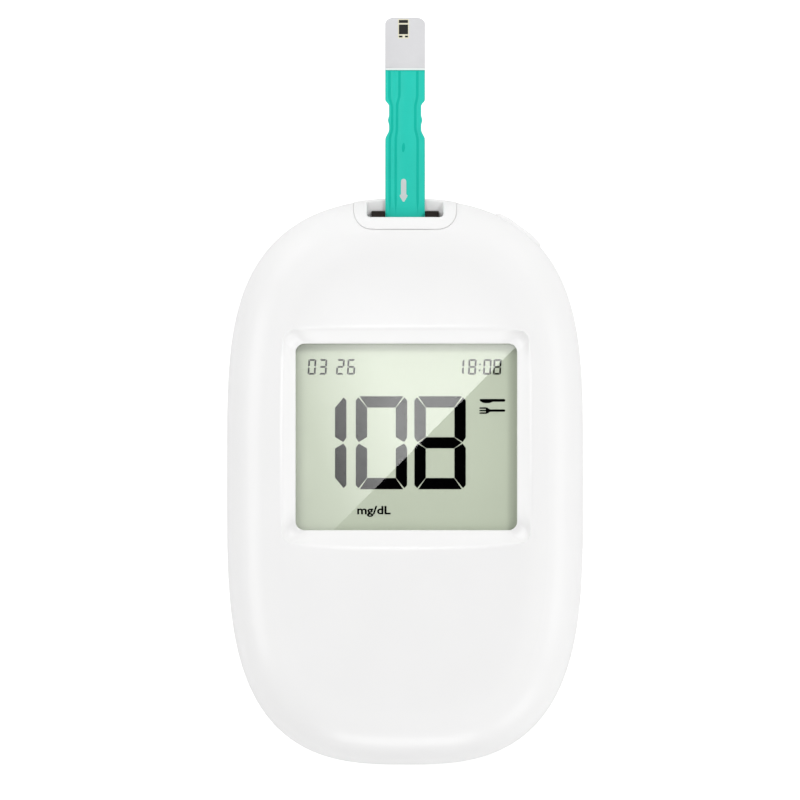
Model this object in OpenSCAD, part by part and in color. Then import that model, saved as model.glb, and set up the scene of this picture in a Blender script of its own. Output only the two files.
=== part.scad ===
// Hand-held blood glucose meter with a test strip in its port.
// Millimetres. The meter lies on its back: +Z leaves the screen, +Y runs to the strip port,
// and the origin is the middle of the flat back.

/* [Body] */
// Width of the case
body_w = 57; // [54:0.5:62]
// Length of the case, without the strip
body_l = 90.5; // [86:0.5:98]
// Thickness of the case at the middle of the front
body_t = 18.6; // [18.2:0.1:21]
// Height of the line where the two covers meet
parting_z = 8.4; // [8.2:0.1:9]
// Wall thickness of both covers
wall = 1.8; // [1.5:0.1:2]
// Width, seen from the front, of the rounded front edge
front_edge = 10; // [8:0.5:11]
// Width, seen from the back, of the rounded rear edge
rear_edge = 6.5; // [5:0.5:7.5]
// Rise of the front face from its edge to its middle
crown = 0.6; // [0.3:0.1:1]
// Depth of the V groove along the parting line
groove = 0.25; // [0.15:0.05:0.35]

/* [Screen] */
// Width of the window
window_w = 35.7; // [33:0.1:37]
// Length of the window
window_l = 29.9; // [27:0.1:31]
// Middle of the window above the middle of the case
window_y = 7.3; // [6:0.1:8.5]
// Corner radius of the window
window_r = 1.4; // [0.8:0.1:2.5]
// Depth of the window's edge below the front face
sill_depth = 1.7; // [1.4:0.1:2]
// Width of the sloped border at the sides and top
slope_side = 2.2; // [1.6:0.1:2.6]
// Width of the sloped border at the bottom
slope_bottom = 2.5; // [2:0.1:3.2]
// How far the bottom border bows out at its middle
slope_bow = 0.5; // [0:0.1:1.4]
// Material left under the sloped border
sill_wall = 1.2; // [1:0.1:1.4]
// Thickness of the lens flange behind the sill
lens_flange = 0.8; // [0.6:0.1:1]
// Reach of the lens flange past the window
lens_margin = 1.9; // [1.4:0.1:2]
// How far the lens face sits below the sill's edge
lens_drop = 0.1; // [0.05:0.05:0.3]
// Thickness of the foam gasket between lens and display
gasket_t = 0.3; // [0.2:0.1:0.5]

/* [Display] */
// Reach of the display glass past the window at the sides and top
glass_margin = 2.15; // [2:0.05:2.4]
// Reach of the front glass past the window at its contact edge
glass_ledge = 2.9; // [2.6:0.1:3.2]
// Thickness of each display glass
glass_t = 1.1; // [0.7:0.1:1.1]
// Thickness of each polarizer film
film_t = 0.2; // [0.15:0.05:0.25]
// Wall of the display frame
frame_wall = 1.3; // [1:0.1:1.4]
// Width of the elastomer contact strip
elastomer_w = 1.8; // [1.4:0.1:1.9]

/* [Board] */
// Thickness of the circuit board
board_t = 1; // [0.8:0.1:1.2]
// Gap between the parting line and the underside of the board
board_lift = 0.3; // [0.2:0.1:0.5]
// Distance from the case outline to the board's edge
board_inset = 2.7; // [2.5:0.1:3.2]

/* [Strip port] */
// Width of the port surround
port_w = 16.4; // [15:0.2:18]
// Length of the surround, from its lower edge to the end of the case
port_l = 4.95; // [4.6:0.05:5.4]
// Corner radius of the surround
port_r = 2.9; // [2:0.1:3.4]
// Width of the notch that the strip crosses
notch_w = 12.2; // [11.6:0.1:12.8]
// Width of the slot
slot_w = 10.7; // [10:0.1:11.2]
// Lip between the surround's lower edge and the notch
lip = 2.1; // [1.7:0.1:2.2]
// Length of dark slot in front of the lip
slot_reach = 0.85; // [0.6:0.05:1]
// How far the surround stands proud of the cover
port_proud = 0.12; // [0:0.02:0.2]

/* [Test strip] */
// Width of the strip
strip_w = 6.4; // [6:0.1:6.8]
// Length of the strip
strip_l = 40.3; // [36:0.1:44]
// Depth of the strip's inserted end behind the surround's lower edge
strip_in = 6.4; // [6:0.1:6.8]
// Height of the underside of the strip
strip_z = 10.95; // [10.8:0.05:11.2]
// Thickness of the base film
strip_base_t = 0.35; // [0.25:0.05:0.4]
// Thickness of the coloured cover film
strip_cover_t = 0.15; // [0.1:0.01:0.2]
// Length of the pale tip
tip_l = 8.4; // [7:0.1:10]
// Bare length at the inserted end, where the contacts press
bare_l = 4.2; // [3.6:0.1:4.6]
// Depth of the finger waist on each side
waist_in = 0.6; // [0.3:0.1:0.9]

/* [Side key] */
// Place of the key round the outline, in degrees from +X
key_at = 54.4; // [50:0.2:58]
// Length of the key along the outline
key_l = 8.9; // [8:0.1:10]
// Height of the key
key_h = 4.4; // [3.6:0.1:5]
// How far the key stands out of the case
key_proud = 0.45; // [0.4:0.05:0.6]
// Travel of the key
key_travel = 0.35; // [0.2:0.05:0.4]
// Width of the flange that keeps the key in
key_flange = 0.7; // [0.5:0.1:0.9]

/* [Battery] */
// Diameter of the coin cell
cell_d = 20; // [20:0.1:20.2]
// Thickness of the coin cell
cell_t = 3.2; // [3:0.1:3.2]
// Width of the battery door
door_w = 26.6; // [25.6:0.1:28]
// Length of the battery door
door_l = 30.6; // [29.6:0.1:31.6]
// Distance of the door's middle below the middle of the case
door_down = 19.4; // [18.6:0.1:19.8]
// Thickness of the door
door_t = 1.5; // [1.3:0.1:1.6]
// Corner radius of the door
door_r = 3; // [2:0.1:4]
// How far the door sits inside the flat back
door_sink = 0.15; // [0.1:0.05:0.3]
// Wall of the battery bay
bay_wall = 1.2; // [1:0.1:1.4]
// Thickness of the foam pad on the door
pad_t = 0.25; // [0.2:0.05:0.3]
// Width of the latch tongue
latch_w = 9; // [7:0.1:10]
// Length of the latch tongue
latch_l = 7.3; // [6.5:0.1:8]

/* [Fasteners] */
// Side distance of the upper case screws
screw_x_top = 15.2; // [14.5:0.1:16]
// Upward distance of the upper case screws
screw_y_top = 29.8; // [29.6:0.1:30.2]
// Side distance of the lower case screws
screw_x_low = 17.4; // [16.8:0.1:18]
// Downward distance of the lower case screws
screw_y_low = 30; // [29:0.1:31]
// Thread diameter of the case screws
screw_d = 2; // [1.8:0.1:2.2]
// Head diameter of the case screws
head_d = 3.8; // [3.4:0.1:4]
// Depth of the screw recess in the back
head_depth = 5; // [4.6:0.1:5.2]
// Length of a case screw below its head
screw_l = 7.5; // [6.5:0.1:8]
// Distance of the board screws from the board's side
board_screw_in = 2.3; // [2.1:0.1:2.4]
// Distance of the board screws above the middle of the case
board_screw_y = 2; // [-2:0.5:6]

/* [Hidden] */
$fn = 48;

// Colours
shell_white = [0.95, 0.95, 0.94];
strip_teal = [0.16, 0.79, 0.7];
contact_gold = [0.83, 0.66, 0.3];
steel = [0.75, 0.76, 0.78];
dark_plastic = [0.08, 0.07, 0.07];
board_green = [0.1, 0.36, 0.22];

// General clearances
fit = 0.15;
slide_fit = 0.05;
past = 1;

half_w = body_w / 2;
half_l = body_l / 2;
port_y = half_l - port_l;
strip_y = port_y - strip_in;

// ---------------------------------------------------------------- outline of the case
// Exponents of the outline: the sides and ends of its upper and its lower half
upper_side = 2.4;
upper_end = 3.92;
lower_side = 2.85;
lower_end = 3.51;
outline_steps = 72;

function over(r, c, s, side, end) = pow(r * c, side) + pow(r * s, end) > 1;
function solve(lo, hi, c, s, side, end, left = 26) = left == 0 ? (lo + hi) / 2 :
    over((lo + hi) / 2, c, s, side, end) ? solve(lo, (lo + hi) / 2, c, s, side, end, left - 1) :
    solve((lo + hi) / 2, hi, c, s, side, end, left - 1);
function reach(t) = sin(t) >= 0 ? solve(0.9, 1.5, abs(cos(t)), sin(t), upper_side, upper_end) :
    solve(0.9, 1.5, abs(cos(t)), -sin(t), lower_side, lower_end);
unit_outline = [for (i = [0:outline_steps - 1]) let (t = 360 * i / outline_steps)
    [reach(t) * cos(t), reach(t) * sin(t)]];
function outline(inset) = [for (p = unit_outline) [(half_w - inset) * p.x, (half_l - inset) * p.y]];
function ring(inset, z) = [for (p = outline(inset)) [p.x, p.y, z]];
function outline_point(t) = [half_w * reach(t) * cos(t), half_l * reach(t) * sin(t)];

// ---------------------------------------------------------------- section of the case
// The edge rounds over as a quarter of a superellipse, and the front then rises by its crown.
edge_power = 2.2;
edge_steps = 8;
cap_inset = 19;
function rounding(share) = pow(1 - pow(1 - min(share, 1), edge_power), 1 / edge_power);
function crown_rise(inset, span) = crown * (1 - pow(1 - min(inset / span, 1), 2));
// Height of the front at an inset from the outline, for the outer (skin = 0) or inner surface
function front_height(inset, skin) = parting_z + (body_t - crown - parting_z - skin)
    * rounding((inset - skin) / (front_edge - skin)) + crown_rise(inset - skin, cap_inset - skin);
function rear_height(inset, skin) = parting_z - (parting_z - skin)
    * rounding((inset - skin) / (rear_edge - skin));
function edge_insets(width, skin) = [for (k = [1:edge_steps])
    skin + (width - skin) * (1 - pow(cos(90 * k / edge_steps), 2 / edge_power))];

function front_rings(skin) = concat(
    [for (d = edge_insets(front_edge, skin)) ring(d, front_height(d, skin))],
    [for (d = [front_edge + 3, cap_inset]) ring(d, front_height(d, skin))]);
function rear_rings(skin) = concat(
    [for (d = edge_insets(rear_edge, skin)) ring(d, rear_height(d, skin))]);
function backward(list) = [for (i = [len(list) - 1:-1:0]) list[i]];

// A closed solid through rings that all have the same number of points, capped at both ends
module loft(rings) {
    n = len(rings[0]);
    last = len(rings) - 1;
    points = [for (r = rings) each r];
    sides = [for (k = [0:last - 1], i = [0:n - 1]) let (j = (i + 1) % n)
        each [[k * n + i, k * n + j, (k + 1) * n + j], [k * n + i, (k + 1) * n + j, (k + 1) * n + i]]];
    polyhedron(points = points, faces = concat([[for (i = [n - 1:-1:0]) i]], sides,
        [[for (i = [0:n - 1]) last * n + i]]), convexity = 8);
}

// The front cover's wall: down the outside from the top to the rim, then up the inside
module front_shell() loft(concat(
    backward([for (r = front_rings(0)) r]), [ring(0, parting_z + groove), ring(groove, parting_z)],
    [ring(wall, parting_z)], front_rings(wall)));
module rear_shell() mirror([0, 0, 1]) loft([for (r = concat(
    backward(rear_rings(0)), [ring(0, parting_z - groove), ring(groove, parting_z)],
    [ring(wall, parting_z)], rear_rings(wall))) [for (p = r) [p.x, p.y, -p.z]]]);
// The whole front as one solid, grown outward, for the pieces that lie in its surface
module front_solid(grow) loft(concat(
    backward([for (d = concat(edge_insets(front_edge, 0), [front_edge + 3, cap_inset]))
        ring(d - grow, front_height(d, 0) + grow)]),
    [ring(-grow, parting_z)]));

// ---------------------------------------------------------------- small shapes
function arc(cx, cy, r, from, steps = 6) = [for (k = [0:steps])
    [cx + r * cos(from + 90 * k / steps), cy + r * sin(from + 90 * k / steps)]];
function round_rect(w, l, r) = concat(arc(w / 2 - r, l / 2 - r, r, 0), arc(r - w / 2, l / 2 - r, r, 90),
    arc(r - w / 2, r - l / 2, r, 180), arc(w / 2 - r, r - l / 2, r, 270));
module plate(w, l, r, z0, z1, y = 0) translate([0, y, z0]) linear_extrude(z1 - z0)
    polygon(round_rect(w, l, r));
module box(x0, x1, y0, y1, z0, z1) translate([x0, y0, z0]) cube([x1 - x0, y1 - y0, z1 - z0]);
module rod(x, y, r, z0, z1) translate([x, y, z0]) cylinder(r = r, h = z1 - z0);

// ---------------------------------------------------------------- heights
sill_z = body_t - sill_depth;
well_z = sill_z - sill_wall;
lens_back = well_z - lens_flange;
gasket_back = lens_back - gasket_t;
front_glass_z = gasket_back - film_t - glass_t;
rear_glass_z = front_glass_z - glass_t;
reflector_z = rear_glass_z - film_t;
board_z = parting_z + board_lift;
board_top = board_z + board_t;
pocket_z = door_sink + door_t;
cell_z = pocket_z + pad_t;
contact_room = 0.3;
bay_roof = cell_z + cell_t + contact_room;
bay_top = bay_roof + bay_wall - 0.2;

case_screws_at = [[screw_x_top, screw_y_top], [-screw_x_top, screw_y_top],
    [screw_x_low, -screw_y_low], [-screw_x_low, -screw_y_low]];
board_screw_x = half_w - board_inset - board_screw_in;
board_screws_at = [[board_screw_x, board_screw_y], [-board_screw_x, board_screw_y]];

// ---------------------------------------------------------------- front cover
boss_r = 2.3;
pilot_r = screw_d / 2 - 0.15;
board_boss_r = 1.75;
board_screw_r = 0.8;
board_screw_l = 3.6;
well_margin = 3.3;
// Height of the ceiling's middle over a point, found from how far the point lies inside the outline
function share_at(x, y, inset) = pow(abs(x) / (half_w - inset), y >= 0 ? upper_side : lower_side)
    + pow(abs(y) / (half_l - inset), y >= 0 ? upper_end : lower_end);
function inset_at(x, y, lo = 0, hi = 25, left = 20) = left == 0 ? (lo + hi) / 2 :
    share_at(x, y, (lo + hi) / 2) > 1 ? inset_at(x, y, lo, (lo + hi) / 2, left - 1) :
    inset_at(x, y, (lo + hi) / 2, hi, left - 1);
function ceiling(x, y) = front_height(inset_at(x, y), 0) - wall / 2;

// Outline of the sloped border at a level above the sill, for the runs it has made up to there
function slope_outline(run_side, run_bottom, bow) = let (w = window_w / 2 + run_side,
    top = window_l / 2 + run_side, low = window_l / 2 + run_bottom - bow, r = window_r + 0.7)
    concat(arc(w - r, top - r, r, 0), arc(r - w, top - r, r, 90), arc(r - w, r - low, r, 180),
        [for (k = [1:11]) let (x = -w + r + (2 * w - 2 * r) * k / 12)
            [x, -low - bow * (1 - pow(x / (w - r), 2))]],
        arc(w - r, r - low, r, 270));
module screen_cut() {
    rise = sill_depth - crown / 3;
    over_z = sill_z + 2 * rise;
    translate([0, window_y, 0]) hull() {
        translate([0, 0, sill_z]) linear_extrude(0.01) polygon(round_rect(window_w, window_l, window_r));
        translate([0, 0, over_z]) linear_extrude(0.01)
            polygon(slope_outline(2 * slope_side, 2 * slope_bottom, 2 * slope_bow));
    }
    plate(window_w, window_l, window_r, well_z - past, sill_z + past / 2, window_y);
}
module port_outline(gap) translate([0, port_y - gap, 0])
    polygon(concat([[port_w / 2 + gap, 12], [-port_w / 2 - gap, 12]],
        arc(port_r - port_w / 2, port_r + gap, port_r + gap, 180),
        arc(port_w / 2 - port_r, port_r + gap, port_r + gap, 270)));
module front_cover() color(shell_white) difference() {
    union() {
        front_shell();
        plate(window_w + 2 * well_margin, window_l + 2 * well_margin, 2.5, well_z, body_t - wall, window_y);
        for (p = case_screws_at) rod(p.x, p.y, boss_r, parting_z, ceiling(p.x, p.y));
        for (p = board_screws_at)
            rod(p.x, p.y, board_boss_r, board_top, ceiling(p.x + sign(p.x) * board_boss_r, p.y));
    }
    screen_cut();
    translate([0, 0, parting_z - past]) linear_extrude(body_t) port_outline(fit);
    for (p = case_screws_at) rod(p.x, p.y, pilot_r, parting_z - past, head_depth + screw_l + 0.5);
    for (p = board_screws_at) rod(p.x, p.y, board_screw_r - 0.12, board_top - past,
        board_z + board_screw_l + 0.4);
    key_opening();
}

// ---------------------------------------------------------------- side key
key_centre = outline_point(key_at);
key_step = 4;
key_before = outline_point(key_at - key_step);
key_after = outline_point(key_at + key_step);
key_turn = atan2(key_after.y - key_before.y, key_after.x - key_before.x) - 90;
// Radius of the outline there, from the circle through three of its points
chord = norm(key_after - key_before);
half_chord = (key_after + key_before) / 2;
sagitta = norm(key_centre - half_chord);
key_round = (chord * chord / 4 + sagitta * sagitta) / (2 * sagitta);
flange_face = wall + 0.2;
flange_t = 0.9;
rib_t = 0.95;
rib_half = 1.4;
key_r = 1.8;
key_flange_r = 1.2;
switch_gap = 0.8;
switch_depth = 3.2;
switch_h = 2.8;
switch_w = 6;
plunger_w = 2.4;
plunger_h = 1.1;
plunger_z = board_top + 1.3;
key_back = flange_face + slide_fit + flange_t;
rib_back = key_back + rib_t;
switch_front = rib_back + switch_gap;

// In this frame +X leaves the case square to its outline, and Y runs along it
module at_key() translate([key_centre.x, key_centre.y, 0]) rotate([0, 0, key_turn]) children();
module across(x0, x1, l, h, r) translate([x0, 0, parting_z]) rotate([90, 0, 90])
    linear_extrude(x1 - x0) polygon(round_rect(l, h, r));
module key_opening() at_key() {
    across(-flange_face - past, 4, key_l + 2 * fit, key_h + 2 * fit, key_r + 0.1);
    box(-switch_front + 0.1, -flange_face, -key_l / 2 - key_flange - 0.4, key_l / 2 + key_flange + 0.4,
        parting_z - key_h / 2 - key_flange - 0.3, parting_z + key_h / 2 + key_flange + 0.3);
}
module side_key() color(shell_white) at_key() {
    intersection() {
        across(-flange_face - slide_fit, key_proud + past, key_l, key_h, key_r);
        translate([key_proud - key_round, 0, 0]) cylinder(r = key_round, h = body_t);
    }
    across(-key_back, -flange_face - slide_fit, key_l + 2 * key_flange, key_h + 2 * key_flange,
        key_flange_r);
    box(-rib_back, -key_back, -rib_half, rib_half,
        plunger_z - plunger_h / 2, parting_z + key_h / 2 + key_flange);
}
module key_plunger() color(dark_plastic) at_key()
    box(-rib_back - switch_gap - 0.8, -rib_back, -plunger_w / 2, plunger_w / 2,
        plunger_z - plunger_h / 2, plunger_z + plunger_h / 2);
module key_switch() color(steel) at_key() difference() {
    box(-switch_front - switch_depth, -switch_front, -switch_w / 2, switch_w / 2,
        board_top, board_top + switch_h);
    box(-switch_front - 0.8 - key_travel - 0.2, -switch_front + past,
        -plunger_w / 2 - slide_fit, plunger_w / 2 + slide_fit,
        plunger_z - plunger_h / 2 - slide_fit, plunger_z + plunger_h / 2 + slide_fit);
}

// ---------------------------------------------------------------- rear cover and battery bay
post_r = 3.1;
recess_r = head_d / 2 + 0.3;
hole_r = screw_d / 2 + 0.15;
door_gap = 0.2;
door_y = -door_down;
door_low = door_y - door_l / 2;
door_high = door_y + door_l / 2;
cell_y = door_low + 0.8 + 5.5 + cell_d / 2;
hook_w = 4;
hook_x = 7;
hook_reach = 1.4;
hook_t = 1;
rim_t = pocket_z - fit;
catch_reach = 0.8;
catch_top = pocket_z + 0.75;
contact_t = 0.3;
plus_w = 4;
minus_w = 6;
minus_l = 8;
leg_w = 1.5;
leg_y = cell_y + minus_l / 2;
cell_r = cell_d / 2;
sound_at = [14, 15];
support_at = [[21, -14], [-21, -14], [21, 18], [-21, 18]];

module bay_block() {
    plate(door_w + 2 * door_gap + 2 * bay_wall, door_l + 2 * door_gap + 2 * bay_wall, door_r + 1,
        wall / 2, bay_top, door_y);
}
module bay_cut() {
    difference() {
        union() {
            plate(door_w + 2 * door_gap, door_l + 2 * door_gap, door_r + door_gap, -past, pocket_z, door_y);
            plate(door_w - 2 * bay_wall, door_l - 2 * bay_wall, door_r - 1, pocket_z - 0.1, bay_roof, door_y);
        }
        difference() {
            rod(0, cell_y, cell_r + 0.3 + bay_wall, pocket_z, bay_roof + past);
            rod(0, cell_y, cell_r + 0.3, pocket_z - past, bay_roof);
            box(cell_r - 1, cell_r + 1, cell_y - plus_w / 2 - fit, cell_y + plus_w / 2 + fit,
                pocket_z - past, bay_roof);
        }
    }
    for (side = [-1, 1]) box(side * hook_x - hook_w / 2 - 0.3, side * hook_x + hook_w / 2 + 0.3,
        door_low - hook_reach - 0.6, door_low + 3.2, rim_t, bay_roof);
    box(-latch_w / 2 - 0.3, latch_w / 2 + 0.3, door_high - 1.2, door_high + catch_reach + 0.5,
        rim_t + 0.1, catch_top + 0.7);
    box(-leg_w / 2 - 0.1, leg_w / 2 + 0.1, leg_y - contact_t - 0.1, leg_y + 0.1,
        bay_roof - 0.1, bay_top + past);
    box(cell_r + slide_fit - 0.1, cell_r + slide_fit + contact_t + 0.1, cell_y - plus_w / 2 - 0.1,
        cell_y + plus_w / 2 + 0.1, bay_roof - 0.1, bay_top + past);
}
module rear_cover() color(shell_white) difference() {
    union() {
        rear_shell();
        bay_block();
        for (p = case_screws_at) rod(p.x, p.y, post_r, wall / 2, parting_z);
        for (p = support_at) rod(p.x, p.y, 1.5, wall / 2, board_z);
    }
    bay_cut();
    for (p = case_screws_at) {
        rod(p.x, p.y, recess_r, -past, head_depth);
        rod(p.x, p.y, hole_r, head_depth - past, parting_z + past);
    }
    for (p = [[0, 0], [2, 0], [-2, 0], [0, 2], [0, -2]])
        rod(sound_at.x + p.x, sound_at.y + p.y, 0.5, -past, wall + past);
    plate(17, 21, 2, -past, 0.3, 17.5);
    translate([0, door_high + 0.6, -4.2]) sphere(r = 5);
    key_opening();
}

// ---------------------------------------------------------------- battery door
tongue_gap = 0.8;
pad_side = 9;
pad_r = 1;
pad_down = 2;
module battery_door() color(shell_white) {
    difference() {
        plate(door_w, door_l, door_r, door_sink, pocket_z, door_y);
        box(-latch_w / 2 - tongue_gap, latch_w / 2 + tongue_gap, door_high - latch_l, door_high + past,
            0, 2 * pocket_z);
    }
    for (side = [-1, 1]) box(side * hook_x - hook_w / 2, side * hook_x + hook_w / 2,
        door_low - hook_reach, door_low + 1.4, pocket_z, pocket_z + hook_t);
}
module door_latch() color(shell_white) difference() {
    union() {
        box(-latch_w / 2, latch_w / 2, door_high - latch_l, door_high, door_sink, pocket_z - 0.4);
        box(-latch_w / 2, latch_w / 2, door_high - 1, door_high, door_sink, catch_top);
        box(-latch_w / 2, latch_w / 2, door_high - 0.1, door_high + catch_reach, rim_t + 0.25, catch_top);
    }
    for (k = [0:2]) box(-latch_w / 2 + 1, latch_w / 2 - 1, door_high - 2.2 - 1.3 * k,
        door_high - 1.6 - 1.3 * k, door_sink - past, door_sink + 0.25);
}
module door_pad() color([0.25, 0.25, 0.27])
    plate(pad_side, pad_side, pad_r, pocket_z, cell_z, cell_y - pad_down);

// ---------------------------------------------------------------- cell and its contacts
module coin_cell() color(steel) {
    rod(0, cell_y, cell_r, cell_z, cell_z + cell_t - 0.4);
    rod(0, cell_y, cell_r - 1.2, cell_z + cell_t - 0.4, cell_z + cell_t);
}
module minus_contact() color(contact_gold) {
    box(-minus_w / 2, minus_w / 2, leg_y - minus_l, leg_y, bay_roof - contact_t + 0.1, bay_roof);
    for (side = [-1, 1]) rod(side * 1.6, cell_y - 1, 0.7, cell_z + cell_t, bay_roof - contact_t + 0.1);
    box(-leg_w / 2, leg_w / 2, leg_y - contact_t, leg_y, bay_roof - contact_t + 0.1, board_z);
}
module plus_contact() color(contact_gold)
    box(cell_r + slide_fit, cell_r + slide_fit + contact_t, cell_y - plus_w / 2, cell_y + plus_w / 2,
        cell_z + 0.4, board_z);

// ---------------------------------------------------------------- strip port surround
slot_z = board_top + 0.1;
lip_under = strip_z + strip_base_t + strip_cover_t + 1.5;
notch_y = port_y + lip;
shelf_z = strip_z - 0.3;
nose_y = notch_y + slot_reach;
nose_top = lip_under - fit;
module port_surround() color(shell_white) {
    difference() {
        intersection() {
            front_solid(port_proud);
            translate([0, 0, parting_z]) linear_extrude(body_t) port_outline(0);
        }
        box(-notch_w / 2, notch_w / 2, notch_y, half_l + 2, shelf_z, body_t);
        box(-slot_w / 2 - fit, slot_w / 2 + fit, port_y - past, nose_y + fit, parting_z - past, lip_under);
    }
    // the tabs that hold the surround under the front cover
    for (side = [0, 1]) mirror([side, 0, 0])
        box(port_w / 2 - 0.4, port_w / 2 + 1.2, port_y + 0.3, port_y + 1.9, parting_z, parting_z + 1.2);
}

// ---------------------------------------------------------------- screen and display
module screen_lens() color([0.85, 0.9, 0.92, 0.3]) {
    plate(window_w + 2 * lens_margin, window_l + 2 * lens_margin, 2, lens_back, well_z, window_y);
    plate(window_w - 2 * slide_fit, window_l - 2 * slide_fit, window_r, well_z, sill_z - lens_drop, window_y);
}
module lens_gasket() color([0.1, 0.1, 0.1]) difference() {
    plate(window_w + 2 * lens_margin, window_l + 2 * lens_margin, 2, gasket_back, lens_back, window_y);
    plate(window_w + 0.8, window_l + 0.8, 1.4, gasket_back - past, lens_back + past, window_y);
}
glass_w = window_w + 2 * glass_margin;
glass_top = window_y + window_l / 2 + glass_margin;
glass_low = window_y - window_l / 2 - glass_ledge;
rear_glass_low = glass_low + elastomer_w + 0.9;
module front_polarizer() color([0.75, 0.79, 0.71])
    box(1 - glass_w / 2, glass_w / 2 - 1, glass_low + 1, glass_top - 1, gasket_back - film_t, gasket_back);
module display_front_glass() color([0.7, 0.75, 0.68])
    box(-glass_w / 2, glass_w / 2, glass_low, glass_top, front_glass_z, front_glass_z + glass_t);
module display_rear_glass() color([0.7, 0.75, 0.68])
    box(-glass_w / 2, glass_w / 2, rear_glass_low, glass_top, rear_glass_z, rear_glass_z + glass_t);
module display_reflector() color([0.7, 0.72, 0.7])
    box(2 - glass_w / 2, glass_w / 2 - 2, rear_glass_low + 1, glass_top - 2, reflector_z, rear_glass_z);
frame_gap = 0.1;
module display_frame() color([0.9, 0.9, 0.88]) difference() {
    box(-glass_w / 2 - frame_gap - frame_wall, glass_w / 2 + frame_gap + frame_wall,
        glass_low - frame_gap - frame_wall, glass_top + frame_gap + frame_wall, board_top,
        front_glass_z + glass_t);
    box(-glass_w / 2 - frame_gap, glass_w / 2 + frame_gap, glass_low - frame_gap, glass_top + frame_gap,
        rear_glass_z, body_t);
    box(1.2 - glass_w / 2, glass_w / 2 - 1.2, glass_low + 0.3, glass_top - 1.2, board_top - past, body_t);
    for (p = board_screws_at) rod(p.x, p.y, board_boss_r + fit, 0, body_t);
}
module elastomer_contact() color([0.85, 0.45, 0.6])
    box(3 - glass_w / 2, glass_w / 2 - 3, glass_low + 0.6, glass_low + 0.6 + elastomer_w,
        board_top, front_glass_z);

// ---------------------------------------------------------------- board and its parts
connector_w = 13;
connector_l = 8;
connector_top = board_top + 3.6;
board_end = port_y - 0.6;
module main_board() color(board_green) difference() {
    translate([0, 0, board_z]) linear_extrude(board_t) polygon(outline(board_inset));
    box(-port_w, port_w, board_end, half_l, 0, body_t);
    for (p = case_screws_at) rod(p.x, p.y, boss_r + 0.3, 0, body_t);
    for (p = board_screws_at) rod(p.x, p.y, board_screw_r + 0.15, 0, body_t);
    at_key() box(-rib_back - 0.3, 4, -key_l / 2 - key_flange - 0.5, key_l / 2 + key_flange + 0.5, 0, body_t);
}
// Places on the underside of the board
microcontroller_at = [-9, 19];
sensor_at = [0, 33.5];
crystal_at = [-19, 5.5];
crystal_r = 0.8;
crystal_l = 6;
// Width, length and height of each chip, and the pins on a side
microcontroller_size = [10, 10, 1.4];
microcontroller_pins = 8;
sensor_size = [4, 5, 1.3];
sensor_pins = 4;
small_part_size = [2, 1.2, 0.8];
pin_size = [1, 0.35, 0.6];
buzzer_r = 4.5;
buzzer_h = 4.2;
buzzer_hole_r = 0.8;
// Middle and turn of each small part
small_parts_at = [[-4, 28.5, 0], [4, 28.5, 0], [7.5, 33, 90], [-7.5, 33, 90],
    [18, 4, 0], [18, 7.5, 0], [-19, 13, 90], [-19, 9.5, 0]];
module chip(at, size, pins) {
    box(at.x - size.x / 2, at.x + size.x / 2, at.y - size.y / 2, at.y + size.y / 2,
        board_z - size.z, board_z - 0.1);
    pitch = (size.y - 1) / (pins - 1);
    for (side = [-1, 1], k = [0:pins - 1])
        translate([at.x + side * (size.x / 2 + 0.35), at.y - size.y / 2 + 0.5 + k * pitch,
            board_z - pin_size.z / 2]) cube(pin_size, center = true);
}
module microcontroller() color(dark_plastic)
    chip(microcontroller_at, microcontroller_size, microcontroller_pins);
module sensor_chip() color(dark_plastic) chip(sensor_at, sensor_size, sensor_pins);
module clock_crystal() color(steel) translate([crystal_at.x, crystal_at.y, board_z - crystal_r])
    rotate([90, 0, 0]) cylinder(r = crystal_r, h = crystal_l);
module buzzer() color(dark_plastic) difference() {
    rod(sound_at.x, sound_at.y, buzzer_r, board_z - buzzer_h, board_z);
    rod(sound_at.x, sound_at.y, buzzer_hole_r, board_z - buzzer_h - past, board_z - buzzer_h + 1.2);
}
module board_parts() color([0.6, 0.5, 0.38]) for (p = small_parts_at)
    translate([p.x, p.y, board_z - small_part_size.z / 2]) rotate([0, 0, p.z])
        cube(small_part_size, center = true);

// ---------------------------------------------------------------- strip connector
channel_gap = 0.1;
contact_pitch = 1.9;
finger_l = 3.4;
module strip_connector() color(dark_plastic) difference() {
    union() {
        box(-connector_w / 2, connector_w / 2, strip_y - 2, port_y - 0.3, board_top, connector_top);
        box(-slot_w / 2, slot_w / 2, port_y - 1, nose_y, board_top, nose_top);
    }
    // channel for the strip, open above over the nose
    box(-strip_w / 2 - channel_gap, strip_w / 2 + channel_gap, strip_y - slide_fit, nose_y + past,
        strip_z - slide_fit, strip_z + strip_base_t + strip_cover_t + channel_gap);
    box(-strip_w / 2 - channel_gap, strip_w / 2 + channel_gap, port_y + lip / 2, nose_y + past,
        strip_z - slide_fit, body_t);
    for (k = [-1:1]) box(k * contact_pitch - 0.5, k * contact_pitch + 0.5,
        strip_y - 2 - past, strip_y + finger_l + 0.4, strip_z + strip_base_t, connector_top - 0.4);
}
module strip_contacts() color(contact_gold) for (k = [-1:1]) {
    x = k * contact_pitch;
    // spring arm from the back of the connector, and its foot on the board
    box(x - 0.35, x + 0.35, strip_y - 2.3, strip_y + finger_l,
        connector_top - 0.4 - 0.25, connector_top - 0.4);
    box(x - 0.35, x + 0.35, strip_y - 2.3, strip_y - 2.05, board_top + 0.2, connector_top - 0.4);
    box(x - 0.35, x + 0.35, strip_y - 3.3, strip_y - 2.05, board_top, board_top + 0.2);
    box(x - 0.35, x + 0.35, strip_y + finger_l - 0.7, strip_y + finger_l - 0.4,
        strip_z + strip_base_t + slide_fit, connector_top - 0.4);
}

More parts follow.
